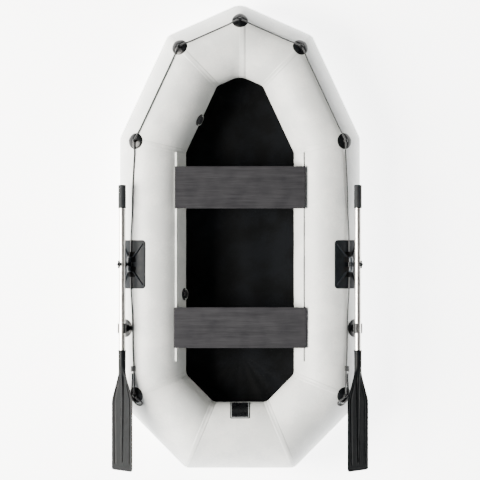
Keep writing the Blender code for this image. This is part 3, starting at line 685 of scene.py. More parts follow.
class Wardrobe:
    """Every finish on the boat, made once."""

    def __init__(self) -> None:
        """Builds the materials."""
        # PVC-coated polyester: off-white satin film, faint weave
        self.tube = WeldedFabric("welded PVC-coated fabric", "#d9dbd9", "#cbcecd", (0.38, 0.5)).dress()
        # the same film cut as tape: a little glossier and paler than the panel that it covers
        self.tape = WeldedFabric("welded seam tape", "#d6d8d6", "#c8cbca", (0.34, 0.46), lay=Lay.BOAT).dress()
        # heavy black PVC-coated fabric: coarser weave, dull
        self.bottom = WeldedFabric("black PVC-coated bottom fabric", "#0a0c0f", "#050607", (0.4, 0.56),
                                   thread=3.2 * MM, relief=0.14 * MM, gloss=0.06).dress()
        # bolt-rope rail: soft extruded PVC, slightly translucent grey-white
        self.rail = WeldedFabric("extruded PVC bolt rope", "#d9dcda", "#c6c9c8", (0.34, 0.46),
                                 lay=Lay.BOAT).dress()
        # inner wall of the air chambers: bare coated cloth
        self.wall = WeldedFabric("bulkhead fabric", "#c9cccc", "#babdbd", (0.5, 0.6), lay=Lay.BOAT).dress()
        # EPDM mouldings: near black, satin on rubbed crowns
        self.rubber = Moulded("moulded EPDM rubber", "#070809", "#101214", (0.24, 0.36), gloss=0.22).dress()
        # oarlock pads: dark grey rubber with bloom
        self.pad = Moulded("grey EPDM oarlock rubber", "#0c0f12", "#161a1e", (0.4, 0.56), gloss=0.1).dress()
        # the oarlocks' knuckles: the same rubber, painted paler grey as a painted highlight on their lit tops
        self.wear_and_painted_light = Moulded("rubbed EPDM knuckle", "#1b1f23", "#343a40", (0.3, 0.45), gloss=0.3).dress()
        # grip: ribbed soft rubber, dull
        self.grip = Moulded("ribbed grip rubber", "#121416", "#232629", (0.55, 0.75), gloss=0.2).dress()
        # blades and sockets: glass-filled nylon with a spark-eroded texture
        self.blade = Moulded("glass-filled nylon", "#090b0d", "#0f1214", (0.36, 0.5), grain=0.9 * MM,
                             gloss=0.08).dress()
        # the floors of the blades' grooves and the hollows of the oarlocks' bosses: painted shade, near black
        # and dull
        self.recess = Moulded("unrubbed nylon recess", "#020202", "#060607", (0.7, 0.85), gloss=0.05).dress()
        # oar clips, wing nuts, valve parts: smooth nylon
        self.nylon = Moulded("moulded nylon", "#0e1011", "#1a1c1f", (0.28, 0.42), relief=0.03 * MM,
                             gloss=0.3).dress()
        # valve tether: pale flexible PVC
        self.tether = Moulded("flexible PVC tether", "#c8cbca", "#dcdedd", (0.4, 0.5)).dress()
        # plain plate: printed grey film under clear vinyl
        self.plate = Moulded("vinyl plate film", "#8f9496", "#a3a8aa", (0.25, 0.38), relief=0.02 * MM).dress()
        # oar shafts: drawn aluminium, clear anodised
        self.shaft = Drawn("clear anodised aluminium", "#e6e5e1", "#cbc9c4", (0.26, 0.4)).dress()
        # seat tracks: extruded aluminium, mill finish
        self.track = Drawn("extruded aluminium", "#c9c9c7", "#a9aaa9", (0.34, 0.5)).dress()
        # pins, buttons and springs: brushed stainless steel
        self.steel = Drawn("brushed stainless steel", "#b9b9b7", "#90918f", (0.24, 0.4), Grain.ACROSS).dress()
        # seat boards
        self.board = FacedPlywood().dress()
        self.ply = PlyEdge().dress()
        # lifeline
        self.rope = Braid().dress()


# ---------------------------------------------------------------- the hull's form


@dataclass(frozen=True)
class Mitre:
    """A kink of the tubes' centreline, and the two straight runs that meet there."""

    here: Array
    come: Array
    go: Array

    @property
    def plane(self) -> Array:
        """The normal of the plane that both runs are cut at."""
        return unit(self.come + self.go)

    @property
    def out(self) -> Array:
        """The level way out of the boat in that plane."""
        return np.cross(UP, self.plane)

    @property
    def half(self) -> float:
        """Half the angle by which the centreline turns."""
        return float(np.arccos(np.clip(self.come @ self.go, -1, 1)) / 2)

    def seam(self, angle: Array, radius: Array) -> Array:
        """Points of the seam: here + out·r·sin a / cos half + up·r·cos a.

        Args:
            angle: radians outboard of the top.
            radius: distance from the tube's axis.
        Returns:
            Array of their shape with a last axis of three.
        """
        angle, radius = np.broadcast_arrays(angle, radius)
        level = (radius * np.sin(angle) / math.cos(self.half))[..., None]
        return self.here + self.out * level + UP * (radius * np.cos(angle))[..., None]

    def beside(self, angle: Array, radius: Array, offset: Array) -> Array:
        """The same points moved along the run before (negative offset) or after the seam."""
        way = np.where((np.asarray(offset) > 0)[..., None], self.go, self.come)
        return self.seam(angle, radius) + way * np.asarray(offset)[..., None]


@dataclass
class HullForm:
    """The ring of air tubes: its centreline and what lies on it.

    Attributes:
        radius: the tubes' outer radius.
        axis: the height of their centreline.
        half_route: centreline corners from bow to stern on the right side.
        kink_sink: how far the cloth is drawn in beside a seam.
        ease: from bow to stern, the radius that rounds each kink as seen from above.
        pucker: the depth of the creases on the inner side of a kink.
        ground_ease: how gently the lowest line turns flat on the ground.
    """

    radius: float = 0.1772
    axis: float = 0.17568
    half_route: tuple = ((0.0, 1.06), (0.2556, 0.9467), (0.4672, 0.4935), (0.4672, -0.8082),
                         (0.2175, -1.0622))
    kink_sink: float = 1.2 * MM
    pucker: float = 0.9 * MM
    ease: tuple = (95 * MM, 40 * MM, 40 * MM, 45 * MM, 45 * MM)
    ground_ease: float = 1.0 * MM
    mitres: list[Mitre] = field(init=False)

    def __post_init__(self) -> None:
        """Works out the nine mitres, clockwise from the bow as seen from above."""
        right = np.array([(x, y, self.axis) for x, y in self.half_route])
        ring = np.concatenate([right, right[:0:-1] * (-1, 1, 1)])
        ways = unit(np.roll(ring, -1, axis=0) - ring)
        self.mitres = [Mitre(ring[k], ways[k - 1], ways[k]) for k in range(len(ring))]

    @property
    def side_x(self) -> float:
        """The distance of a side tube's axis from the middle of the boat."""
        return self.half_route[2][0]

    def sink(self, index: int, angle: Array, distance: Array) -> Array:
        """How far the cloth lies inside the full radius near a seam.

        Args:
            index: the mitre's number.
            angle: radians outboard of the top.
            distance: metres from the seam.
        Returns:
            The kink's rounding, r·(1/cos h - 1)·(1 - d/(r·tan h))² towards the inside of the bend, plus
            sink·e^(-d/18 mm), plus creases pucker·e^(-(d/40 mm)²)·(1 + cos 22a)/2 where the side faces
            inboard. h is half the turn of the mitre.
        """
        mitre, r = self.mitres[index], self.ease[min(index, len(self.mitres) - index)]
        reach, depth = r * math.tan(mitre.half), r * (1 / math.cos(mitre.half) - 1)
        turn = np.sin(angle) * np.abs(np.sin(angle))
        rounding = depth * np.clip(1 - distance / reach, 0, 1) ** 2 * turn
        inner = np.clip(-np.sin(angle) - 0.25, 0, 1)
        crease = self.pucker * np.exp(-((distance / 0.04) ** 2)) * (0.5 + 0.5 * np.cos(22 * angle)) * inner
        edge = self.kink_sink * np.exp(-distance / 0.018) * (0.35 + 0.65 * np.abs(np.sin(angle)))
        return rounding + edge + crease

    def pressed(self, z: Array) -> Array:
        """Heights near the ground: (z + √(z² + e²))/2, so that the tube's lowest line lies flat."""
        return 0.5 * (z + np.sqrt(z**2 + self.ground_ease**2))

    def panel(self, index: int) -> Grid:
        """One tube between two mitres: straight lines from seam to seam, drawn in near both.

        Args:
            index: the number of the mitre that it starts at.
        Returns:
            The closed grid, with a cloth map in metres.
        """
        following = (index + 1) % len(self.mitres)
        a, b = self.mitres[index], self.mitres[following]
        t = np.linspace(0, 1, 72)
        t = (t - 0.13 * np.sin(2 * np.pi * t))[:, None]
        angle = np.linspace(-np.pi, np.pi, 144, endpoint=False)[None, :]
        start, end = a.seam(angle, self.radius), b.seam(angle, self.radius)
        length = np.linalg.norm(end - start, axis=-1)
        near = np.minimum(t, 1 - t) * length
        drawn = self.sink(index, angle, t * length) + self.sink(following, angle, (1 - t) * length)
        normal = np.cos(angle)[..., None] * UP + np.sin(angle)[..., None] * np.cross(UP, a.go)
        wave = 0.35 * MM * np.sin(19 * t * length + 2 * angle + index) * np.sin(3 * angle + 1.7 * index)
        points = start + (end - start) * t[..., None]
        points = points - normal * (drawn - wave * np.clip(near / 0.08, 0, 1))[..., None]
        points = points + a.go * ((0.5 - t) * 0.3 * MM)[..., None]
        points[..., 2] = self.pressed(points[..., 2])
        round_ = np.linspace(-np.pi, np.pi, 145)[None, :] * self.radius
        along = t * float(length.mean())
        return Grid(points, poles=True, cloth=np.stack(np.broadcast_arrays(round_, along), -1))

    def tape(self, index: int, before: float, after: float) -> Grid:
        """A tape welded over a seam: a flat loop 0.5 mm proud, its edges sunk into the panel.

        Args:
            index: the mitre's number.
            before, after: how far it reaches on each side of the seam.
        Returns:
            A grid closed both ways.
        """
        mitre = self.mitres[index]
        across = np.array([-before, -before + 1.0 * MM, -before / 2, -0.2 * MM, 0.2 * MM, after / 2,
                           after - 1.0 * MM, after, after / 2, 0.2 * MM, -0.2 * MM, -before / 2])[None, :]
        height = np.array([-0.5, 0.42, 0.5, 0.5, 0.5, 0.5, 0.42, -0.5, -1.2, -1.2, -1.2, -1.2])[None, :] * MM
        angle = np.linspace(-np.pi, np.pi, 144, endpoint=False)[:, None]
        radius = self.radius + height - self.sink(index, angle, np.abs(across))
        points = mitre.beside(angle + 0 * across, radius, across + 0 * angle)
        points[..., 2] = self.pressed(points[..., 2])
        return Grid(points, ring_rows=True)

    def side_axes(self, side: Side, degrees: float, y: float, height: float = 0.0) -> Axes:
        """A place on a side tube: first axis outboard and down, second forward, third away from it.

        Args:
            side: left or right.
            degrees: how far outboard of the tube's top.
            y: how far forward.
            height: over the tube.
        Returns:
            The local frame.
        """
        a, s = math.radians(degrees), side.value
        normal = np.array((s * math.sin(a), 0, math.cos(a)))
        along = np.array((s * math.cos(a), 0, -math.sin(a)))
        return Axes(np.array((s * self.side_x, y, self.axis)) + normal * (self.radius + height), along,
                    FORWARD, normal)

    def on_side(self, axes: Axes, x: Array, y: Array, height: Array) -> Array:
        """Points over a side tube, wrapped to it: z = √((R + h)² - x²) - R.

        Args:
            axes: a place from side_axes.
            x, y: metres across and along.
            height: over the tube.
        Returns:
            Points.
        """
        return axes.at(x, y, np.sqrt((self.radius + height) ** 2 - x**2) - self.radius)

    def seam_axes(self, index: int, degrees: float) -> Axes:
        """A place on a seam: second axis along the tube, third halfway between both tubes' normals.

        Args:
            index: the mitre's number.
            degrees: how far outboard of the top.
        Returns:
            The local frame.
        """
        mitre = self.mitres[index]
        base = mitre.seam(math.radians(degrees), self.radius)
        away = base - mitre.here
        normal = unit(sum(unit(away - way * (away @ way)) for way in (mitre.come, mitre.go)))
        ey = unit(mitre.plane - normal * (mitre.plane @ normal))
        return Axes(base, np.cross(ey, normal), ey, normal)

    def lifted(self, index: int, points: Array, normal: Array, height: Array) -> Array:
        """Points moved along a normal until they are that high over the tube on their side of a seam.

        Args:
            index: the mitre's number.
            points: array (..., 3).
            normal: the way to move.
            height: over the tube.
        Returns:
            The points p + n·t, with t the larger root of |q + n·t| = R + h about the tube's axis.
        """
        mitre = self.mitres[index]
        away = points - mitre.here
        way = np.where(((away @ mitre.plane) > 0)[..., None], mitre.go, mitre.come)
        q = away - way * (away * way).sum(-1, keepdims=True)
        n = normal - way * (way @ normal)[..., None]
        a, b = (n * n).sum(-1), 2 * (q * n).sum(-1)
        c = (q * q).sum(-1) - (self.radius + height) ** 2
        t = (-b + np.sqrt(np.maximum(b * b - 4 * a * c, 0))) / (2 * a)
        return points + normal * t[..., None]


# ---------------------------------------------------------------- sub-assemblies


@dataclass
class Tubes:
    """The nine air tubes, the tapes over their seams, and the two inner walls."""

    form: HullForm
    wardrobe: Wardrobe
    names: tuple = ("bow_right", "shoulder_right", "side_right", "quarter_right", "stern",
                    "quarter_left", "side_left", "shoulder_left", "bow_left")
    tape_reach: tuple = ((4 * MM, 33 * MM), (16 * MM, 16 * MM), (16 * MM, 16 * MM), (16 * MM, 16 * MM),
                         (16 * MM, 16 * MM))

    def build(self) -> None:
        """Makes the panels and tapes, and dresses the inner walls."""
        for index, name in enumerate(self.names):
            skin = make_piece(f"air_tube_{name}", [self.form.panel(index)], [self.wardrobe.tube], 60)
            fit(skin, "hull", "hull_fabric", f"tube_{name}")
        for index in range(len(self.names)):
            before, after = self.tape_reach[min(index, len(self.names) - index)]
            tape = make_piece(f"seam_tape_{index}", [self.form.tape(index, before, after)],
                              [self.wardrobe.tape], 60)
            fit(tape, "hull", "hull_fabric")
        for side in Side:
            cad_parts[f"bulkhead_{side.word}"].data.materials.clear()
            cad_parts[f"bulkhead_{side.word}"].data.materials.append(self.wardrobe.wall)


@dataclass
class Bottom:
    """The fabric bottom, drawn tight under the tubes."""

    form: HullForm
    wardrobe: Wardrobe
    flange: tuple = (12.0, 28.0)
    lift: float = 1.5 * MM
    crown: float = 9 * MM
    thickness: float = 1.2 * MM

    def outline(self, angle: Array, radius: float, points: int) -> Array:
        """The loop of points at some angles inboard of the tubes' lowest line, evenly parted.

        Args:
            angle: radians, one for each loop.
            radius: from the tubes' axis.
            points: points on each straight run.
        Returns:
            Array (angles, loop, 3).
        """
        corners = np.stack([m.seam(np.pi + angle, np.full(angle.shape, radius)) for m in self.form.mitres], 1)
        share = np.linspace(0, 1, points, endpoint=False)[None, None, :, None]
        runs = corners[:, :, None] * (1 - share) + np.roll(corners, -1, axis=1)[:, :, None] * share
        return runs.reshape(len(angle), -1, 3)

    def build(self) -> None:
        """Makes the bottom: flange round the tubes, then z = edge + crown·(1 - s²)² with soft creases."""
        low, high = (math.radians(a) for a in self.flange)
        radius = self.form.radius + self.lift
        wrap = self.outline(np.linspace(low, high, 9), radius, 28)
        edge = wrap[-1]
        middle = np.stack([0 * edge[:, 0], np.clip(edge[:, 1], -0.62, 0.62), edge[:, 2]], -1)
        s = np.linspace(1, 0, 44)[1:, None]
        flat = middle + (edge - middle) * s[..., None]
        around = np.linspace(0, 2 * np.pi, edge.shape[0], endpoint=False)[None, :]
        crease = 0.7 * MM * np.sin(23 * around) * s * (1 - s) * 4 * np.clip(1.4 * s, 0, 1)
        slack = 1.1 * MM * np.sin(2 * np.pi * flat[..., 0] / 0.21 + 3 * flat[..., 1])
        flat[..., 2] += self.crown * (1 - s**2) ** 2 + crease + slack * (1 - s**2)
        top = np.concatenate([wrap, flat])
        under = top - np.array((0, 0, self.thickness))
        rows = np.concatenate([under[::-1], top])
        cloth = np.stack([rows[..., 0], rows[..., 1]], -1)
        cloth = np.concatenate([cloth, cloth[:, :1]], 1)
        sheet = make_piece("bottom_fabric", [Grid(rows, cloth=cloth)], [self.wardrobe.bottom], 70)
        fit(sheet, "hull", "bottom_fabric", "bottom_sheet")


@dataclass
class Plate:
    """The plain plate on the inner shoulder of the stern tube."""

    form: HullForm
    wardrobe: Wardrobe
    angles: tuple = (31.0, 80.0)
    half_width: float = 0.0535
    corner: float = 6 * MM

    def build(self) -> None:
        """Makes a bent plate, its height by distance to the edge: a rolled edge, then a plain pale line."""
        low, high = (math.radians(a) for a in self.angles)
        radius = self.form.radius
        half = (high - low) / 2 * radius
        axes = Axes(np.array((0, self.form.half_route[-1][1], self.form.axis)), FORWARD,
                    np.array((1.0, 0, 0)), UP)
        middle = (low + high) / 2
        rim = self.sheet(axes, np.array([0, 0, 0.4, 1.2, 5.0]) * MM,
                         np.array([-0.2, 0.6, 1.2, 1.4, 1.4]) * MM, half, middle, 0)
        line = self.sheet(axes, np.array([5.0, 5.2, 8.2, 8.4]) * MM, np.array([1.4, 1.5, 1.5, 1.4]) * MM,
                          half, middle, 1)
        field_ = self.sheet(axes, np.linspace(8.4 * MM, half * 0.999, 9), np.full(9, 1.4 * MM), half, middle,
                            0)
        plate = make_piece("plain_plate", [rim, line, field_], [self.wardrobe.rubber, self.wardrobe.plate],
                           30, facing=np.array((0, 1, 1)))
        fit(plate, "hull", "black_rubber", "maker_plate")

    def sheet(self, axes: Axes, inset: Array, height: Array, half: float, middle: float, slot: int) -> Grid:
        """Rounded rectangles of shrinking size, wrapped round the stern tube.

        Args:
            axes: frame on the tube's axis.
            inset, height: of each rectangle.
            half: half the plate's arc length.
            middle: the angle of its middle.
            slot: material index.
        Returns:
            The grid.
        """
        ring = rounded_rectangle(self.half_width, half, self.corner, inset)
        angle = middle + ring[..., 1] / self.form.radius
        r = self.form.radius + height[:, None]
        return Grid(axes.at(r * np.sin(angle), ring[..., 0], r * np.cos(angle)), slot=slot)


def rounded_rectangle(half_x: float, half_y: float, corner: float, inset: Array, arc: int = 9,
                      straight: int = 14) -> Array:
    """Rounded rectangles one inside another: (±(hx - c) + c·cos a, ±(hy - c) + c·sin a) less the inset.

    Args:
        half_x, half_y: half sizes of the outermost.
        corner: its corner radius.
        inset: how far each one lies inside it.
        arc: points on a corner.
        straight: points on a straight side, between its corners.
    Returns:
        Array (insets, points, 2).
    """
    inset = np.asarray(inset, float)[:, None, None]
    c = np.maximum(corner - inset, 0.0)
    a = np.linspace(0, np.pi / 2, arc)[None, None, :] + (np.arange(4) * np.pi / 2)[None, :, None]
    sx, sy = np.array([1, -1, -1, 1])[None, :, None], np.array([1, 1, -1, -1])[None, :, None]
    x = sx * np.maximum(half_x - inset - c, 0) + c * np.cos(a)
    y = sy * np.maximum(half_y - inset - c, 0) + c * np.sin(a)
    corners = np.stack([x, y], -1)
    t = np.linspace(0, 1, straight + 2)[None, None, 1:-1, None]
    sides = corners[:, :, -1:] * (1 - t) + np.roll(corners, -1, axis=1)[:, :, :1] * t
    return np.concatenate([corners, sides], 2).reshape(corners.shape[0], -1, 2)


@dataclass
class Seats:
    """The two boards, their tracks, and the bolt-rope rails that they slide on.

    Attributes:
        boards: y, depth, half width and corner radius of each.
        board_heights: underside and top of the boards.
    """

    form: HullForm
    wardrobe: Wardrobe
    boards: dict = field(default_factory=lambda: {"front": (0.2662, 0.226, 0.3495, 2 * MM),
                                                  "rear": (-0.4848, 0.218, 0.355, 8 * MM)})
    board_heights: tuple = (0.31855, 0.33055)
    rail_degrees: float = -43.4
    rail_y: tuple = (-0.665, 0.455)
    bead: float = 4 * MM
    strip: float = 1.2 * MM
    neck: float = 2.5 * MM
    lift: float = 0.3 * MM

    def build(self) -> None:
        """Makes the boards and rails, and dresses the tracks."""
        for word, (y, depth, half, corner) in self.boards.items():
            low, high = self.board_heights
            inset = np.array([80, 6, 1.3, 0.5, 0, 0, 0.5, 1.3, 6, 80]) * MM
            z = np.array([low, low, low, low + 0.4 * MM, low + 1.3 * MM, high - 1.3 * MM, high - 0.4 * MM,
                          high, high, high])
            ring = rounded_rectangle(half, depth / 2, corner, inset)
            points = np.concatenate([ring + (0, y), np.broadcast_to(z[:, None, None], (*ring.shape[:2], 1))],
                                    -1)
            faces = [Grid(np.concatenate([points[:1].mean(1, keepdims=True) + 0 * points[:1], points[:5]]),
                          slot=0),
                     Grid(points[4:6], slot=1),
                     Grid(np.concatenate([points[5:], points[-1:].mean(1, keepdims=True) + 0 * points[-1:]]),
                          slot=0)]
            board = make_piece(f"board_{word}", faces, [self.wardrobe.board, self.wardrobe.ply], 50)
            fit(board, f"seat_{word}", "seat_board", f"seat_board_{word}")
            for side in Side:
                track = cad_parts[f"seat_track_{word}_{side.word}"]
                track.data.materials.clear()
                track.data.materials.append(self.wardrobe.track)
        for side in Side:
            self.build_rail(side)

    def build_rail(self, side: Side) -> None:
        """Makes one rail: a thin strip with feathered edges, a neck and a round bead, along the tube.

        Args:
            side: left or right.
        """
        axes = self.form.side_axes(side, self.rail_degrees, 0)
        s = np.array([-13, -9, -4, -2.6])
        wing = np.stack([s, np.array([-0.1, 0.8, 1.3, 1.8])], -1) * MM
        centre = self.strip + self.lift + self.neck + self.bead
        a = np.radians(np.linspace(-158, 158, 24))
        round_ = np.stack([self.bead * np.sin(a), centre + self.bead * np.cos(a)], -1)
        top = np.concatenate([wing, round_, wing[::-1] * (-1, 1)])
        under = np.stack([np.linspace(13, -13, 6)[1:-1] * MM, np.full(4, -0.6 * MM)], -1)
        outline = np.concatenate([top, under])
        drop = np.sqrt(self.form.radius**2 - outline[:, 0] ** 2) - self.form.radius
        outline = outline + np.stack([0 * drop, drop], -1)
        low, high = self.rail_y
        stations = np.concatenate([[low, low + 1 * MM, low + 3 * MM],
                                   np.linspace(low + 0.02, high - 0.02, 60),
                                   [high - 3 * MM, high - 1 * MM, high]])
        shrink = np.zeros(len(stations))
        shrink[[0, -1]], shrink[[1, -2]] = 0.12, 0.04
        rail = make_piece(f"bolt_rope_rail_{side.word}", [swept(outline, axes, stations, shrink)],
                          [self.wardrobe.rail], 45)
        fit(rail, "hull", "rail_plastic", f"seat_rail_{side.word}")


def keep_node(name: str, finish: bpy.types.Material) -> None:
    """Gives a CAD node that stays as it is its finish.

    Args:
        name: the node.
        finish: its material.
    """
    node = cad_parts[name]
    node.data.materials.clear()
    node.data.materials.append(finish)
    LOG.info("%s stays", name)


@dataclass
class Oarlocks:
    """The curved pads with their ribbed bosses, the folding swivels, their pins and wing nuts.

    Attributes:
        boss: rows of distance from the middle, half width, knuckle radius, crown height and shoulder height.
        knuckle_pitch: the spacing of the rings round the knuckles.
        rib_heights, rib_halves: a rib's height and half width in mm, at the boss and at the corner.
    """

    form: HullForm
    wardrobe: Wardrobe
    lean: float = 39.0
    y: float = -0.146
    half_length: float = 0.13
    half_degrees: float = 26.4
    thickness: float = 3.5 * MM
    corner: float = 18 * MM
    hinge_height: float = 24.3 * MM
    barrel: tuple = (9 * MM, 12 * MM)
    shaft_height: float = 81.8 * MM
    shaft_radius: float = 17.5 * MM
    spindle: float = 6 * MM
    boss: tuple = ((12.5, 26, 10, 24.3, 7), (34, 26, 10, 24.3, 7), (40, 25, 8.6, 20, 6.8),
                   (52, 22.5, 6.4, 12, 6.4), (67.5, 20, 4, 8.5, 6))
    knuckle_pitch: float = 7.2 * MM
    rib_heights: tuple = (12.5, 4.0)
    rib_halves: tuple = (5.4, 3.8)

    def relief(self, x: Array, y: Array) -> tuple[Array, Array]:
        """The pad's height field: plate, four ribs and boss, the highest at each point.

        Args:
            x, y: metres across and along the pad.
        Returns:
            Height over the tube, and the finish: 0 for the plate and ribs, 1 for the boss's hollows, near
            black as painted shade, 2 for its knuckles, paler grey as a painted highlight.
        """
        plate = np.full(np.broadcast_shapes(x.shape, y.shape), self.thickness)
        rows = np.array(self.boss) * MM
        far = np.abs(y) + 0 * x
        wide, knuckle, crown, shoulder = (np.interp(far, rows[:, 0], rows[:, k]) for k in range(1, 5))
        ribbed = np.cos(2 * np.pi * (far - rows[0, 0]) / self.knuckle_pitch) < -0.35
        knuckle = knuckle - 0.9 * MM * ribbed * (far < rows[1, 0])
        side = np.abs(x) + 0 * y
        arch = crown + np.sqrt(np.maximum(knuckle**2 - side**2, 0))
        web = shoulder + (crown - shoulder) * ((wide - side) / (wide - knuckle + 1e-9)).clip(0, 1) ** 1.25
        # the web is hollowed between the knuckle and the foot, as a thin-walled moulding is
        boss = np.where(side < knuckle, arch, web)
        boss = boss * ((wide + 1.2 * MM - side) / (1.2 * MM)).clip(0, 1)
        boss = boss * ((far >= 12.45 * MM) & (far <= 67.6 * MM))
        start, end = np.array((9.0, 30.0)) * MM, np.array((66.0, 108.0)) * MM
        way = end - start
        t = (((side - start[0]) * way[0] + (far - start[1]) * way[1]) / (way @ way)).clip(0, 1)
        gap = np.hypot(side - start[0] - t * way[0], far - start[1] - t * way[1])
        tall, half = ((near - (near - end) * t) * MM for near, end in (self.rib_heights, self.rib_halves))
        rib = self.thickness + tall * (1 - (gap / half) ** 2).clip(0, 1) ** 0.45
        height = np.maximum(np.maximum(plate, rib), boss)
        # the boss's faces get painted shade (finish 1), and those on its knuckles a painted highlight (finish
        # 2)
        hollow = (boss >= height) & (boss > self.thickness + 1 * MM)
        return height, hollow.astype(int) + (hollow & (side < knuckle + 1 * MM) & (far < 40 * MM))

    def pad(self, axes: Axes) -> Grid:
        """The pad: a grid over a rounded rectangle, wrapped round the tube, with a bevelled edge.

        Args:
            axes: the oarlock's place on the tube.
        Returns:
            The grid, open underneath.
        """
        half_x = math.radians(self.half_degrees) * self.form.radius
        u = np.concatenate([[-1, -1, -0.985], np.linspace(-0.97, 0.97, 141), [0.985, 1, 1]])[None, :]
        lines = np.array([12.4, 12.55, 34, 67.4, 67.7]) * MM
        y = np.unique(np.concatenate([np.linspace(-self.half_length + 2.5 * MM, self.half_length - 2.5 * MM,
                                                  190),
                                      lines, -lines]))
        ends = np.array([2.0, 1.0, 0, 0]) * MM
        y = np.concatenate([-self.half_length + ends[::-1], y, self.half_length - ends])[:, None]
        over = np.maximum(np.abs(y) - (self.half_length - self.corner), 0)
        reach = half_x - (self.corner - np.sqrt(np.maximum(self.corner**2 - over**2, 0)))
        x = u * reach
        edge = np.minimum(reach - np.abs(x), self.half_length - np.abs(y))
        bevel = np.sqrt(np.clip(edge / (2.2 * MM), 0, 1))
        height, wear_and_painted_light = self.relief(x, y)
        height = height * (0.25 + 0.75 * bevel)
        skirt = (np.arange(u.shape[1])[None, :] % (u.shape[1] - 1) == 0) | (
            np.arange(y.shape[0])[:, None] % (y.shape[0] - 1) == 0)
        height = np.where(skirt, -0.8 * MM, height)
        angle = x / self.form.radius
        r = self.form.radius + height
        tube = axes.moved(0, 0, -self.form.radius)
        # each face takes the finish of its corners: painted shade in the boss's hollows, a painted highlight
        # on its knuckles
        return Grid(tube.at(r * np.sin(angle), y + 0 * x, r * np.cos(angle)), ring_columns=False,
                    slot=np.maximum(wear_and_painted_light[:-1, :-1], wear_and_painted_light[1:, 1:]))

    def build(self) -> None:
        """Makes both oarlocks."""
        for side in Side:
            word = side.word
            axes = self.form.side_axes(side, self.lean, self.y)
            # finishes: plain pad rubber, painted shade in the boss's hollows, a painted highlight on its
            # knuckles
            pad = make_piece(f"ribbed_pad_{word}", [self.pad(axes)],
                             [self.wardrobe.pad, self.wardrobe.recess, self.wardrobe.wear_and_painted_light], 40,
                             facing=axes.ez)
            fit(pad, "hull", "black_rubber", f"oarlock_pad_{word}")
            keep_node(f"hinge_pin_{word}", self.wardrobe.steel)
            hinge = axes.moved(0, 0, self.hinge_height)
            self.build_swivel(word, hinge)
            self.build_nut(word, hinge)

    def build_swivel(self, word: str, hinge: Axes) -> None:
        """Makes the swivel: a barrel on the hinge pin, and a spindle turned with a collar and a thread.

        Args:
            word: the side's name.
            hinge: the frame at the hinge pin.
        """
        rest = self.shaft_height - self.hinge_height - self.shaft_radius - 1 * MM
        tip = rest + 2 * self.shaft_radius + 23 * MM
        thread = rest + 2 * self.shaft_radius + 4 * MM
        h = np.arange(thread, tip - 2 * MM, 0.55 * MM)
        ridge = self.spindle - 0.45 * MM * (np.arange(len(h)) % 2)
        body = [(0, 0), (7 * MM, 0), (7 * MM, rest - 9 * MM), (9 * MM, rest - 6 * MM),
                (16 * MM, rest - 5 * MM), (16 * MM, rest), (self.spindle, rest)]
        profile = np.concatenate([soften(body, 0.8 * MM), np.stack([ridge, h], -1),
                                  [[self.spindle - 1.5 * MM, tip - 0.5 * MM], [self.spindle - 2 * MM, tip],
                                   [0, tip]]])
        radius, half = self.barrel
        barrel = soften([(0, -half), (radius, -half), (radius, half), (0, half)], 0.8 * MM)
        swivel = make_piece(f"turned_swivel_{word}",
                            [turned(profile, hinge, 56), turned(barrel, hinge.turned(), 48)],
                            [self.wardrobe.pad], 30)
        fit(swivel, f"oarlock_{word}", "dark_plastic", f"oarlock_swivel_{word}")

    def build_nut(self, word: str, hinge: Axes) -> None:
        """Makes the wing nut: a waisted boss, two raked wings, and a washer under them.

        Args:
            word: the side's name.
            hinge: the frame at the hinge pin.
        """
        base = self.shaft_height - self.hinge_height + self.shaft_radius + 2.5 * MM
        bore = self.spindle + 0.1 * MM
        ring = soften([(bore, base), (11 * MM, base), (11 * MM, base + 3 * MM), (9.6 * MM, base + 5 * MM),
                       (9.6 * MM, base + 10 * MM), (bore, base + 10 * MM)], 0.7 * MM, ring=True)
        grids = [turned(ring, hinge, 48, ring=True)]
        grids += [rounded_box((-2.2 * MM, sign * 8 * MM, base + 1.5 * MM),
                              (2.2 * MM, sign * 21 * MM, base + 14 * MM), hinge, 4.0) for sign in (1, -1)]
        nut = make_piece(f"winged_nut_{word}", grids, [self.wardrobe.nylon], 40)
        fit(nut, f"nut_{word}", "dark_plastic", f"wing_nut_{word}")


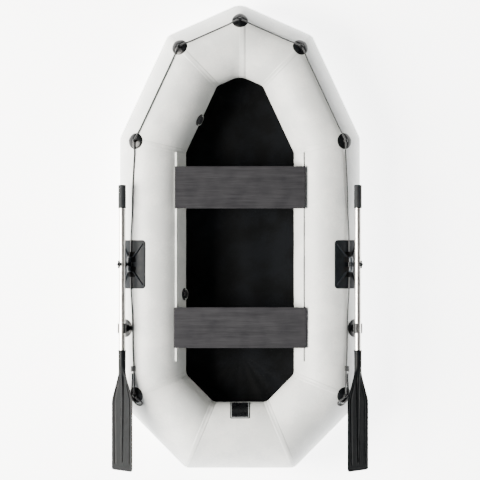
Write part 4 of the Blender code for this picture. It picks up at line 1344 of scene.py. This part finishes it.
@dataclass
class Oars:
    """Two oars: ribbed grip, two-part shaft, and a socketed blade with a rib and two grooves.

    Attributes:
        blade_rows: distance past the socket's mouth, half width and half thickness, in mm.
        plate_half: half the flat plate's thickness.
        rib_halves: the middle rib's half width, near the socket and at the blade's end.
        groove: place of the grooves as a share of the half width, their half width and depth.
        groove_span: where they start and end, as shares of the blade's length.
        lip: height of the raised sides of the grooves.
        rib_foot: depth of the channel at each foot of the rib.
    """

    form: HullForm
    wardrobe: Wardrobe
    locks: Oarlocks
    grip: tuple = (0.1546, 0.2797)
    joint: float = -0.188
    wall: float = 1.5 * MM
    spigot: float = 0.112
    socket: float = -0.605
    inside: float = 0.095
    end: float = -1.249
    slant: float = 5 * MM
    blade_rows: tuple = ((0, 20, 20), (40, 20, 20), (85, 20, 20), (110, 22, 15), (140, 30, 11),
                         (195, 48, 8.5),
                         (240, 64, 7.5), (268, 72.5, 7), (400, 72.5, 6), (547, 72.5, 4.6), (644, 72.5, 3))
    plate_half: float = 2.3 * MM
    rib_halves: tuple = (9.5 * MM, 3.0 * MM)
    groove: tuple = (0.76, 3.2 * MM, 3.0 * MM)
    groove_span: tuple = (0.27, 0.955)
    lip: float = 1.4 * MM
    rib_foot: float = 1.2 * MM

    def build(self) -> None:
        """Makes both oars on axes parallel to the boat."""
        for side in Side:
            word, body = side.word, f"oar_{side.word}"
            place = self.form.side_axes(side, self.locks.lean, 0.0, self.locks.shaft_height)
            axis = Axes(place.origin, place.ex, place.ez, FORWARD)
            self.build_grip(word, body, axis)
            self.build_shafts(word, body, axis)
            # the blade's second finish is painted shade in its grooves and beside its rib
            blade = make_piece(f"nylon_blade_{word}", [self.blade(place), self.socket_ring(axis)],
                               [self.wardrobe.blade, self.wardrobe.recess], 50)
            fit(blade, body, "blade_plastic", f"oar_blade_{word}")
            keep_node(f"snap_button_{word}", self.wardrobe.steel)

    def build_grip(self, word: str, body: str, axis: Axes) -> None:
        """Makes the grip: r = 20 mm + 0.9 mm·|cos|^0.5 of the ribs, with a collar and a domed end.

        Args:
            word: the side's name.
            body: what it moves with.
            axis: the oar's frame, third axis forwards.
        """
        low, high = self.grip
        y = np.linspace(low + 5 * MM, high - 12 * MM, 180)
        ribs = 19.9 * MM + 1.1 * MM * np.sqrt(np.abs(np.cos(np.pi * (y - low) / (8 * MM))))
        start = soften([(self.locks.shaft_radius + 0.2 * MM, low), (21 * MM, low), (21 * MM, low + 4.5 * MM)],
                       0.8 * MM)
        cap = soften([(21 * MM, high - 11 * MM), (21 * MM, high - 4 * MM), (17 * MM, high), (0, high)],
                     3 * MM)
        profile = np.concatenate([start, np.stack([ribs, y], -1), cap, [[0, high - 6 * MM]],
                                  [[self.locks.shaft_radius + 0.2 * MM, high - 6 * MM]]])
        grip = make_piece(f"ribbed_grip_{word}", [turned(profile, axis, 56, ring=True)], [self.wardrobe.grip],
                          50)
        fit(grip, body, "black_rubber", f"oar_grip_{word}")

    def build_shafts(self, word: str, body: str, axis: Axes) -> None:
        """Makes the upper shaft with its spigot, and the lower one, both with turned-in mouths.

        Args:
            word: the side's name.
            body: what they move with.
            axis: the oar's frame, third axis forwards.
        """
        high, r = self.grip[1] - 8 * MM, self.locks.shaft_radius
        inner = r - self.wall
        narrow, end = inner - 0.1 * MM, self.joint - self.spigot
        upper = soften([(r, high), (r, self.joint), (narrow, self.joint), (narrow, end),
                        (narrow - self.wall, end), (narrow - self.wall, high)], 0.7 * MM, ring=True)
        piece = make_piece(f"drawn_shaft_upper_{word}", [turned(upper, axis, 56, ring=True)],
                           [self.wardrobe.shaft], 40)
        fit(piece, body, "shaft_metal", f"oar_shaft_upper_{word}")
        top, mouth = self.joint - 0.3 * MM, self.socket - self.inside
        lower = soften([(r, top), (r, mouth), (inner, mouth), (inner, top)], 0.7 * MM, ring=True)
        piece = make_piece(f"drawn_shaft_lower_{word}", [turned(lower, axis, 56, ring=True)],
                           [self.wardrobe.shaft], 40)
        fit(piece, body, "shaft_metal", f"oar_shaft_lower_{word}")

    def socket_ring(self, axis: Axes) -> Grid:
        """The rolled rim of the blade's socket, 22 mm in radius.

        Args:
            axis: the oar's frame, third axis forwards.
        Returns:
            A ring closed both ways.
        """
        r = self.locks.shaft_radius + 0.3 * MM
        rim = soften([(r, self.socket - 7 * MM), (r, self.socket + 0.5 * MM),
                      (22 * MM, self.socket + 0.5 * MM),
                      (22 * MM, self.socket - 6 * MM), (20 * MM, self.socket - 8 * MM)], 1.2 * MM, ring=True)
        return turned(rim, axis, 56, ring=True)

    def blade(self, place: Axes) -> Grid:
        """The blade: a round socket that flattens to a bevelled plate with a tapering rib and two grooves.

        Args:
            place: the oar's frame, third axis away from the tube.
        Returns:
            The closed grid: z = round share·√(w² - x²)·t/w + flat share·(plate + rib + lips - cuts).
            The grooves' floors and the rib's feet have the second finish, near black as painted shade.
        """
        rows = np.array(self.blade_rows) * MM
        far = self.socket - self.end
        past = np.unique(np.concatenate([np.linspace(0, far - 14 * MM, 150),
                                         far - 14 * MM * np.linspace(0, 1, 14) ** 2]))
        even = np.linspace(0, far, 600)
        kernel = np.hanning(41) / np.hanning(41).sum()
        width, thick = (np.interp(past, even,
                                  np.convolve(np.pad(np.interp(even, rows[:, 0], rows[:, k]), 20, "edge"),
                                              kernel, "valid"))[:, None] for k in (1, 2))
        tail = np.clip((past[:, None] - (far - 14 * MM)) / (14 * MM), 0, 1)
        width = width - 14 * MM * (1 - np.sqrt(np.maximum(1 - tail**2, 0)))
        a = np.linspace(0, 2 * np.pi, 208, endpoint=False)[None, :]
        x, sign = width * np.cos(a), np.sign(np.sin(a))
        flat = np.clip((width / thick - 1) / 2.5, 0, 1)
        flat = flat * flat * (3 - 2 * flat)
        share = np.abs(np.cos(a))
        plate = self.plate_half * (1 - share**14) ** 0.5 * (1 - 0.35 * np.clip((share - 0.86) / 0.14, 0, 1))
        s = past[:, None] / far
        broad, narrow = self.rib_halves
        rib_width = broad - (broad - narrow) * np.clip((s - 0.4) / 0.55, 0, 1)
        rib = (thick - self.plate_half) * np.exp(-((x / rib_width) ** 4)) * np.clip((0.97 - s) / 0.05, 0, 1)
        at, half, deep = self.groove
        inset = at * width - 4 * MM * np.clip((s - 0.5) / 0.5, 0, 1)
        first, last = self.groove_span
        reach = np.clip((s - first) / 0.02, 0, 1) * np.clip((last - s) / 0.01, 0, 1)
        cut = np.exp(-(((np.abs(x) - inset) / half) ** 2)) * deep * reach
        lip = self.lip * np.exp(-(((np.abs(x) - inset) / (3.4 * half)) ** 4)) * reach
        from_foot = np.abs(x) - 1.15 * rib_width
        # faces in the grooves and at the rib's feet take the near-black second finish as painted shade
        dark = (cut > 0.5 * deep) | ((np.abs(from_foot) < 2.1 * MM) & (flat > 0.6) & (s < 0.93))
        channel = self.rib_foot * np.exp(-((from_foot / (2.2 * MM)) ** 2)) * flat
        channel = channel * np.clip((0.96 - s) / 0.02, 0, 1)
        z_flat = sign * np.maximum(plate + rib + lip - cut - channel, 0.25 * MM * (share < 0.9999))
        z = (1 - flat) * thick * np.sin(a) + flat * z_flat
        lean = self.slant * np.clip((s - 0.93) / 0.07, 0, 1)
        y = self.socket - past[:, None] + lean * np.cos(a)
        return Grid(place.at(x, y, z), poles=True, slot=dark[:-1].astype(int))


@dataclass
class Holders:
    """The oar holders: a disc on the tube, a post, and a springy clip round the shaft."""

    form: HullForm
    wardrobe: Wardrobe
    locks: Oarlocks
    y: float = -0.4878
    degrees: float = 54.0
    radius: float = 48 * MM
    wall: float = 3.5 * MM
    play: float = 0.4 * MM
    half_length: float = 26.5 * MM
    mouth: float = 55.0

    def build(self) -> None:
        """Makes both holders and their clips."""
        for side in Side:
            foot = self.form.side_axes(side, self.degrees, self.y)
            oar = self.form.side_axes(side, self.locks.lean, self.y, self.locks.shaft_height)
            share = np.array([0, 0.3, 0.42, 0.6, 0.74, 0.8, 0.84, 0.9, 0.96, 1.0, 1.0, 0.97])[:, None]
            height = np.array([6.0, 6.0, 5.8, 5.2, 4.7, 4.5, 3.2, 3.1, 3.0, 2.2, 0.6, -0.6])[:, None] * MM
            a = np.linspace(0, 2 * np.pi, 72, endpoint=False)[None, :]
            disc = Grid(self.form.on_side(foot, self.radius * share * np.cos(a),
                                          self.radius * share * np.sin(a), height + 0 * a), poles=True)
            seat = self.locks.shaft_radius + self.play + self.wall + 1.0 * MM
            post = self.post(foot, oar, seat)
            holder = make_piece(f"holder_disc_{side.word}", [disc, post], [self.wardrobe.rubber], 40)
            fit(holder, "hull", "black_rubber", f"oar_holder_{side.word}")
            clip = make_piece(f"spring_clip_{side.word}", [self.clip(oar, seat)], [self.wardrobe.nylon], 40)
            fit(clip, "hull", "dark_plastic", f"oar_clip_{side.word}")

    def post(self, foot: Axes, oar: Axes, seat: float) -> Grid:
        """The post: ellipses blended from disc to clip, waisted by 2 mm·sin(πt) and flared at the foot.

        Args:
            foot: the frame on the tube.
            oar: the frame on the oar's axis.
            seat: how far from that axis the post ends.
        Returns:
            The closed grid.
        """
        t = np.linspace(0, 1, 16)[:, None]
        a = np.linspace(0, 2 * np.pi, 40, endpoint=False)[None, :]
        waist = 1 - 0.12 * np.sin(np.pi * t) + 0.25 * (1 - t) ** 6
        low = foot.at(15 * MM * waist * np.cos(a), 19 * MM * waist * np.sin(a), 3 * MM + 0 * a * t)
        high = oar.at(12.5 * MM * waist * np.cos(a), 19 * MM * waist * np.sin(a), -seat + 0 * a * t)
        return Grid(low * (1 - t[..., None]) + high * t[..., None], poles=True)

    def clip(self, oar: Axes, seat: float) -> Grid:
        """The clip: a C of constant wall with flared lips and a flat seat, drawn along the shaft.

        Args:
            oar: frame on the shaft's axis.
            seat: distance of the flat seat below the axis.
        Returns:
            The closed grid.
        """
        inner = self.locks.shaft_radius + self.play
        a = np.radians(np.linspace(90 + self.mouth, 450 - self.mouth, 64))
        down = a - np.radians(270)
        outer = np.where(np.abs(down) < np.radians(33), seat / np.cos(down), inner + self.wall)
        flare = 2.4 * MM * np.clip((np.abs(down) - np.radians(108)) / np.radians(17), 0, 1) ** 2
        ring = np.concatenate([(outer + flare)[:, None] * np.stack([np.cos(a), np.sin(a)], -1),
                               ((inner + flare)[:, None] * np.stack([np.cos(a), np.sin(a)], -1))[::-1]])
        ends = np.array([0, 0.6 * MM, 1.6 * MM])
        y = np.concatenate([-self.half_length + ends, np.linspace(-0.02, 0.02, 9),
                            (self.half_length - ends)[::-1]])
        return swept(ring, oar, y, np.zeros(len(y)))


@dataclass
class Eyelets:
    """Seven domed rubber discs on the seams, each with a bridge over the lifeline."""

    form: HullForm
    wardrobe: Wardrobe
    degrees: float = 32.0
    radius: float = 43 * MM
    over: float = 13.2 * MM
    names: dict = field(default_factory=lambda: {0: "bow", 1: "shoulder_right", 2: "fore_right",
                                                 3: "aft_right",
                                                 6: "aft_left", 7: "fore_left", 8: "shoulder_left"})

    def bend(self, index: int) -> Array:
        """The rope's way over an eyelet: the curve (1-t)²a + 2t(1-t)c + t²b through five points.

        Args:
            index: the mitre's number.
        Returns:
            Points over the bridge.
        """
        mitre = self.form.mitres[index]
        a, c, b = (mitre.beside(math.radians(self.degrees), self.form.radius + self.over, d)
                   for d in (-16 * MM, 0.0, 16 * MM))
        t = np.linspace(0, 1, 5)[:, None]
        return a * (1 - t) ** 2 + c * 2 * t * (1 - t) + b * t**2

    def build(self) -> None:
        """Makes the discs, h = rim + dome·(1 - s²)^0.8 - channel·e^(-(x/6.5 mm)²), and their bridges."""
        s = np.array([0, 0.1, 0.2, 0.3, 0.42, 0.54, 0.66, 0.78, 0.86, 0.89, 0.93, 0.97, 1.0, 1.005, 0.99])
        s = s[:, None]
        a = np.linspace(0, 2 * np.pi, 80, endpoint=False)[None, :]
        x, y = self.radius * s * np.cos(a), self.radius * s * np.sin(a)
        rim = np.array([2.2, 2.2, 2.2, 2.2, 2.2, 2.2, 2.2, 2.2, 2.1, 1.7, 2.3, 2.2, 1.6, 0.6, -4.5])[:, None]
        dome = 4.8 * np.clip(1 - s**2, 0, 1) ** 0.8 * (s < 0.9)
        height = (rim + dome - 2.6 * np.exp(-((x / (6.5 * MM)) ** 2)) * (s < 0.85)) * MM
        for index, name in self.names.items():
            axes = self.form.seam_axes(index, self.degrees)
            flat = axes.at(x, y, 0 * x)
            disc = Grid(self.form.lifted(index, flat, axes.ez, height), poles=True)
            top = Axes(self.bend(index)[2], axes.ex, axes.ey, axes.ez)
            arc = np.linspace(0, np.pi, 25)
            outer, inner, leg = 9 * MM, 5.4 * MM, -8.5 * MM
            outline = np.concatenate([[[outer + 2 * MM, leg]],
                                      np.stack([outer * np.cos(arc), outer * np.sin(arc)], -1),
                                      [[-outer - 2 * MM, leg], [-inner, leg]],
                                      np.stack([inner * np.cos(arc), inner * np.sin(arc)], -1)[::-1],
                                      [[inner, leg]]])
            y_ends = np.array([-7.0, -6.7, -6.0, -4, 0, 4, 6.0, 6.7, 7.0]) * MM
            bridge = swept(outline, top, y_ends, np.array([0.07, 0.02, 0, 0, 0, 0, 0, 0.02, 0.07]))
            piece = make_piece(f"domed_eyelet_{name}", [disc, bridge], [self.wardrobe.rubber], 45)
            fit(piece, "hull", "black_rubber", f"eyelet_{name}")


@dataclass
class Lifeline:
    """The rope from the aft left eyelet round the bow to the aft right one, each end doubled back and seized.

    Attributes:
        along_side: how far forward, degrees outboard of the top, and height over the tube.
        tail: metres past the seam, metres outboard on the cloth, and height over the tube.
    """

    form: HullForm
    wardrobe: Wardrobe
    eyelets: Eyelets
    radius: float = 4 * MM
    along_side: tuple = ((0.37, 34.2, 4.8), (0.24, 36.4, 4.8), (0.12, 37.2, 4.8), (0.012, 38.6, 8.2),
                         (-0.05, 39.0, 8.4), (-0.146, 39.0, 8.6), (-0.242, 39.0, 8.4), (-0.304, 38.4, 8.2),
                         (-0.4, 36.8, 4.8), (-0.488, 36.0, 4.8), (-0.6, 35.6, 4.8), (-0.7, 33.6, 4.8))
    tail: tuple = ((36, -4, 10.4), (46, -5, 6.2), (56, -3, 4.6), (64, 3, 4.4), (68, 12, 4.4), (67, 22, 4.4),
                   (60, 30, 4.4), (50, 32, 5.6), (38, 29, 8.5), (24, 24, 10.8), (0, 20, 11.4),
                   (-24, 18, 11.0), (-44, 16.5, 6.6), (-70, 15.5, 4.8), (-100, 14.5, 4.8), (-124, 15.5, 4.8))

    def tail_points(self, index: int, sign: int) -> Array:
        """An end of the rope: past the eyelet, round in a loop and back beside itself.

        Args:
            index: the mitre's number.
            sign: 1 where the rope leaves forwards along the ring, -1 where it comes from behind.
        Returns:
            Points from the eyelet to the rope's end.
        """
        rows = np.array(self.tail) * MM
        angle = math.radians(self.eyelets.degrees) + rows[:, 1] / self.form.radius
        return self.form.mitres[index].beside(angle, self.form.radius + rows[:, 2], sign * rows[:, 0])

    def route(self) -> Array:
        """The whole way of the rope, from its left end to its right end.

        Returns:
            Points from end to end, before they are smoothed.
        """
        near = np.array((-64.0, -40.0)) * MM
        degrees, radius = math.radians(self.eyelets.degrees), self.form.radius
        heights = radius + np.array((5.2, 10.4)) * MM
        parts = [self.tail_points(6, -1)[::-1]]
        for index in (6, 7, 8, 0, 1, 2, 3):
            mitre = self.form.mitres[index]
            if index != 6:
                parts.append(mitre.beside(np.full(2, degrees), heights, near))
            parts.append(self.eyelets.bend(index))
            if index != 3:
                parts.append(mitre.beside(np.full(2, degrees), heights[::-1], -near[::-1]))
            if index in (6, 2):
                side = Side.LEFT if index == 6 else Side.RIGHT
                rows = self.along_side[::-1] if index == 6 else self.along_side
                parts.append(np.stack([self.form.side_axes(side, a, y, h * MM).origin for y, a, h in rows]))
        parts.append(self.tail_points(3, 1))
        return np.concatenate(parts)

    def seizing(self, side: Side) -> Grid:
        """A cord wound three and a half times round both strands: (a·cos t, pitch·t, b·max(sin t, 0)).

        Args:
            side: left or right.
        Returns:
            The grid.
        """
        axes = self.form.side_axes(side, self.eyelets.degrees + 3.0, -0.8082 + 0.104)
        t = np.linspace(0.2, 7 * np.pi, 150)
        x, y = 11.5 * MM * np.cos(t), (t / (2 * np.pi) - 1.75) * 7.4 * MM
        height = 4.6 * MM + 8.2 * MM * np.clip(np.sin(t), 0, 1) ** 0.7
        return tube_along(self.form.on_side(axes, x, y, height), 3.4 * MM, 10, axes.ey)

    def build(self) -> None:
        route = smooth_route(self.route(), 2.5 * MM)
        rope = make_piece("lifeline_rope", [tube_along(route, self.radius, 12)], [self.wardrobe.rope], 60)
        for side in Side:
            seizing = make_piece(f"lifeline_seizing_{side.word}", [self.seizing(side)], [self.wardrobe.rope],
                                 60)
            fit(seizing, "hull", "rope")
        fit(rope, "hull", "rope", "lifeline")


@dataclass
class Valves:
    """The two inflation valves on the inner side of the left tubes, with their caps and tethers."""

    form: HullForm
    wardrobe: Wardrobe
    degrees: float = -72.0
    rear_y: float = -0.3058
    front_share: float = 0.545

    def places(self) -> dict[str, Axes]:
        """Where each valve stands: first axis along the tube, third away from it.

        Returns:
            A frame for each valve's name.
        """
        a = math.radians(self.degrees)
        shoulder, bow = self.form.mitres[7], self.form.mitres[8]
        low = shoulder.here + (bow.here - shoulder.here) * (1 - self.front_share)
        rear = np.array((-self.form.side_x, self.rear_y, self.form.axis))
        made = {}
        for word, centre, way in (("front", low, shoulder.go), ("rear", rear, FORWARD)):
            normal = np.cross(UP, way) * math.sin(a) + UP * math.cos(a)
            made[word] = Axes(centre + normal * self.form.radius, way, np.cross(normal, way), normal)
        return made

    def build(self) -> None:
        """Makes both valves."""
        for word, axes in self.places().items():
            body = soften([(15, 8), (22, 8), (22, 4), (24, 2.8), (31, 2.4), (33, 1.4), (33, -3), (17.5, -3),
                           (17.5, -12), (12, -12), (12, -9), (15, -9)], 0.9, ring=True) * MM
            spider = rounded_box((-15.5 * MM, -2 * MM, -7.5 * MM), (15.5 * MM, 2 * MM, -4.5 * MM), axes)
            ears = [rounded_box((low * MM, 24.5 * MM, 1 * MM), ((low + 3) * MM, 29.6 * MM, 13 * MM), axes)
                    for low in (6.5, -9.5)]
            piece = make_piece(f"valve_collar_{word}",
                               [turned(body, axes, 64, (0.5 * MM, 24), ring=True), spider,
                                *ears, self.tether(axes)],
                               [self.wardrobe.nylon, self.wardrobe.tether], 40)
            fit(piece, "hull", "dark_plastic", f"valve_body_{word}")
            cap = soften([(0, 8.4), (22.5, 8.4), (22.5, 12), (20.5, 13.4), (14, 13.6), (13, 12.4), (0, 12.6)],
                         0.8) * MM
            hinge = Axes(axes.at(0.0, 27 * MM, 10.5 * MM), axes.ey, axes.ez, axes.ex)
            barrel = soften([(0, -6), (2.6, -6), (2.6, 6), (0, 6)], 0.4) * MM
            web = rounded_box((-5.5 * MM, 18 * MM, 9 * MM), (5.5 * MM, 27 * MM, 11.8 * MM), axes)
            lug = rounded_box((-3 * MM, -27.5 * MM, 9 * MM), (3 * MM, -20 * MM, 11.4 * MM), axes)
            piece = make_piece(f"valve_lid_{word}",
                               [turned(cap, axes, 96, (0.35 * MM, 32)), turned(barrel, hinge, 32),
                                web, lug], [self.wardrobe.nylon], 30)
            fit(piece, f"valve_cap_{word}", "dark_plastic", f"valve_cap_{word}")
            keep_node(f"valve_poppet_{word}", self.wardrobe.steel)
            coil = make_piece(f"valve_coil_{word}", [self.spring(axes)], [self.wardrobe.steel], 60)
            fit(coil, "hull", "spring_steel", f"valve_spring_{word}")
            # the coil is given a mesh of its own; the poppet stays where it is
            tuple(axes.at(0, 0, -4 * MM))
            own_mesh(coil)

    def spring(self, axes: Axes) -> Grid:
        """The poppet's spring, a helix of three turns: (r·cos a, r·sin a, low + rise·a/6π).

        Args:
            axes: the valve's frame.
        Returns:
            A closed round wire 0.9 mm thick, from 4 mm below the collar to 4.6 mm above.
        """
        t = np.linspace(0, 1, 145)
        wire, coil, low, rise = 0.45 * MM, 4.6 * MM, -4.0 * MM, 8.6 * MM
        route = axes.at(coil * np.cos(6 * np.pi * t), coil * np.sin(6 * np.pi * t),
                        low + wire + (rise - 2 * wire) * t)
        return tube_along(route, wire, 8, axes.ez)

    def tether(self, axes: Axes) -> Grid:
        """The tether: a flat pale strap that loops out from under the collar on its lower side.

        Args:
            axes: the valve's frame.
        Returns:
            A closed strap 5 mm wide and 1.6 mm thick on an arc from 25 mm to 36 mm out.
        """
        t = np.linspace(0, 1, 60)[:, None]
        a = np.radians(-170 + 160 * t)
        out = (25.5 + 11 * np.sin(np.pi * t)) * MM
        rise = (4.2 + 3.2 * np.sin(np.pi * t)) * MM
        k = np.linspace(0, 2 * np.pi, 20, endpoint=False)[None, :]
        wide = 2.6 * MM * np.sign(np.cos(k)) * np.abs(np.cos(k)) ** 0.6
        thick = 0.9 * MM * np.sign(np.sin(k)) * np.abs(np.sin(k)) ** 0.6
        r = out + wide
        return Grid(axes.at(r * np.cos(a), r * np.sin(a), rise + thick), poles=True, slot=1)


# ---------------------------------------------------------------- studio


@dataclass
class Studio:
    """The pale floor, the soft lights and the camera straight above."""

    # the middle of the view, and its width at the height of the tubes' widest line
    target: tuple = (0.0, -0.0156, 0.2)
    width: float = 2.578
    lens: float = 500.0
    sensor: float = 36.0
    floor_half: float = 60.0
    floor_z: float = -0.6 * MM
    rim_height: float = 4.0

    def build_camera(self) -> None:
        """Stands the camera over the boat, looking down, with the bow at the top."""
        data = bpy.data.cameras.new("camera_above")
        data.lens, data.sensor_width = self.lens, self.sensor
        data.clip_end = 200
        camera = bpy.data.objects.new("camera_above", data)
        x, y, z = self.target
        camera.location = (x, y, z + self.width * self.lens / self.sensor)
        bpy.context.scene.collection.objects.link(camera)
        bpy.context.scene.camera = camera

    def build_light(self, name: str, place: tuple, power: float, size: tuple, colour: str) -> None:
        """Adds a rectangular soft light that faces the boat.

        Args:
            name: its name.
            place: where it stands.
            power: watts.
            size: its sides in metres.
            colour: sRGB hex.
        """
        data = bpy.data.lights.new(name, "AREA")
        data.shape, data.size, data.size_y = "RECTANGLE", *size
        data.energy, data.color = power, linear(colour)[:3]
        lamp = bpy.data.objects.new(name, data)
        lamp.location = place
        lamp.rotation_mode = "QUATERNION"
        lamp.rotation_quaternion = (Vector((0, 0, 0.2)) - Vector(place)).to_track_quat("-Z", "Y")
        bpy.context.scene.collection.objects.link(lamp)

    def build(self) -> None:
        """Makes the floor, the world's even light and the lamps."""
        half = self.floor_half
        lines = half * np.concatenate([[-1], np.linspace(-0.98, 0.98, 9), [1]])
        x, y = np.meshgrid(lines, lines)
        made, tree, shader = start_material("matt studio floor")
        boat = add_node(tree, "TexCoord").outputs["Object"]
        tone = add_node(tree, "TexNoise", {"Scale": 1 / 0.6, "Detail": 3.0}, {"Vector": boat})
        tree.links.new(blend_colours(tree, tone.outputs["Fac"], "#f3f3f2", "#f6f6f5").outputs["Color"],
                       shader.inputs["Base Color"])
        shader.inputs["Roughness"].default_value = 0.95
        shader.inputs["Specular IOR Level"].default_value = 0.1
        # a floor lit from below, as a light table is, keeps the boat's shadow pale
        shader.inputs["Emission Color"].default_value = linear("#ffffff")
        shader.inputs["Emission Strength"].default_value = 5.0
        # its far rim turns up, so that a low view meets pale paper instead of a horizon
        outermost = np.maximum(np.abs(x), np.abs(y)) > half - 1e-6
        grid = Grid(np.stack([x, y, self.floor_z + self.rim_height * outermost], -1), ring_columns=False)
        make_piece("studio_floor", [grid], [made], facing=UP)
        world = bpy.data.worlds.new("studio_air")
        world.use_nodes = True
        world.node_tree.nodes["Background"].inputs["Color"].default_value = linear("#f4f6f8")
        world.node_tree.nodes["Background"].inputs["Strength"].default_value = 0.1
        bpy.context.scene.world = world
        self.build_light("key_from_left", (-9.7, -1.1, 7.7), 7900.0, (5.7, 7.9), "#fffaf2")
        self.build_light("high_stern_fill", (-0.6, -3.6, 4.2), 60.0, (3.0, 2.0), "#f6f9ff")


def main() -> None:
    """Builds the boat in order: camera and cord first, then the hull, its fittings and the studio."""
    studio, form, wardrobe = Studio(), HullForm(), Wardrobe()
    studio.build_camera()
    eyelets = Eyelets(form, wardrobe)
    Lifeline(form, wardrobe, eyelets).build()
    eyelets.build()
    Tubes(form, wardrobe).build()
    Bottom(form, wardrobe).build()
    Plate(form, wardrobe).build()
    Seats(form, wardrobe).build()
    locks = Oarlocks(form, wardrobe)
    locks.build()
    Oars(form, wardrobe, locks).build()
    Holders(form, wardrobe, locks).build()
    Valves(form, wardrobe).build()
    studio.build()


if __name__ == "__main__":
    main()
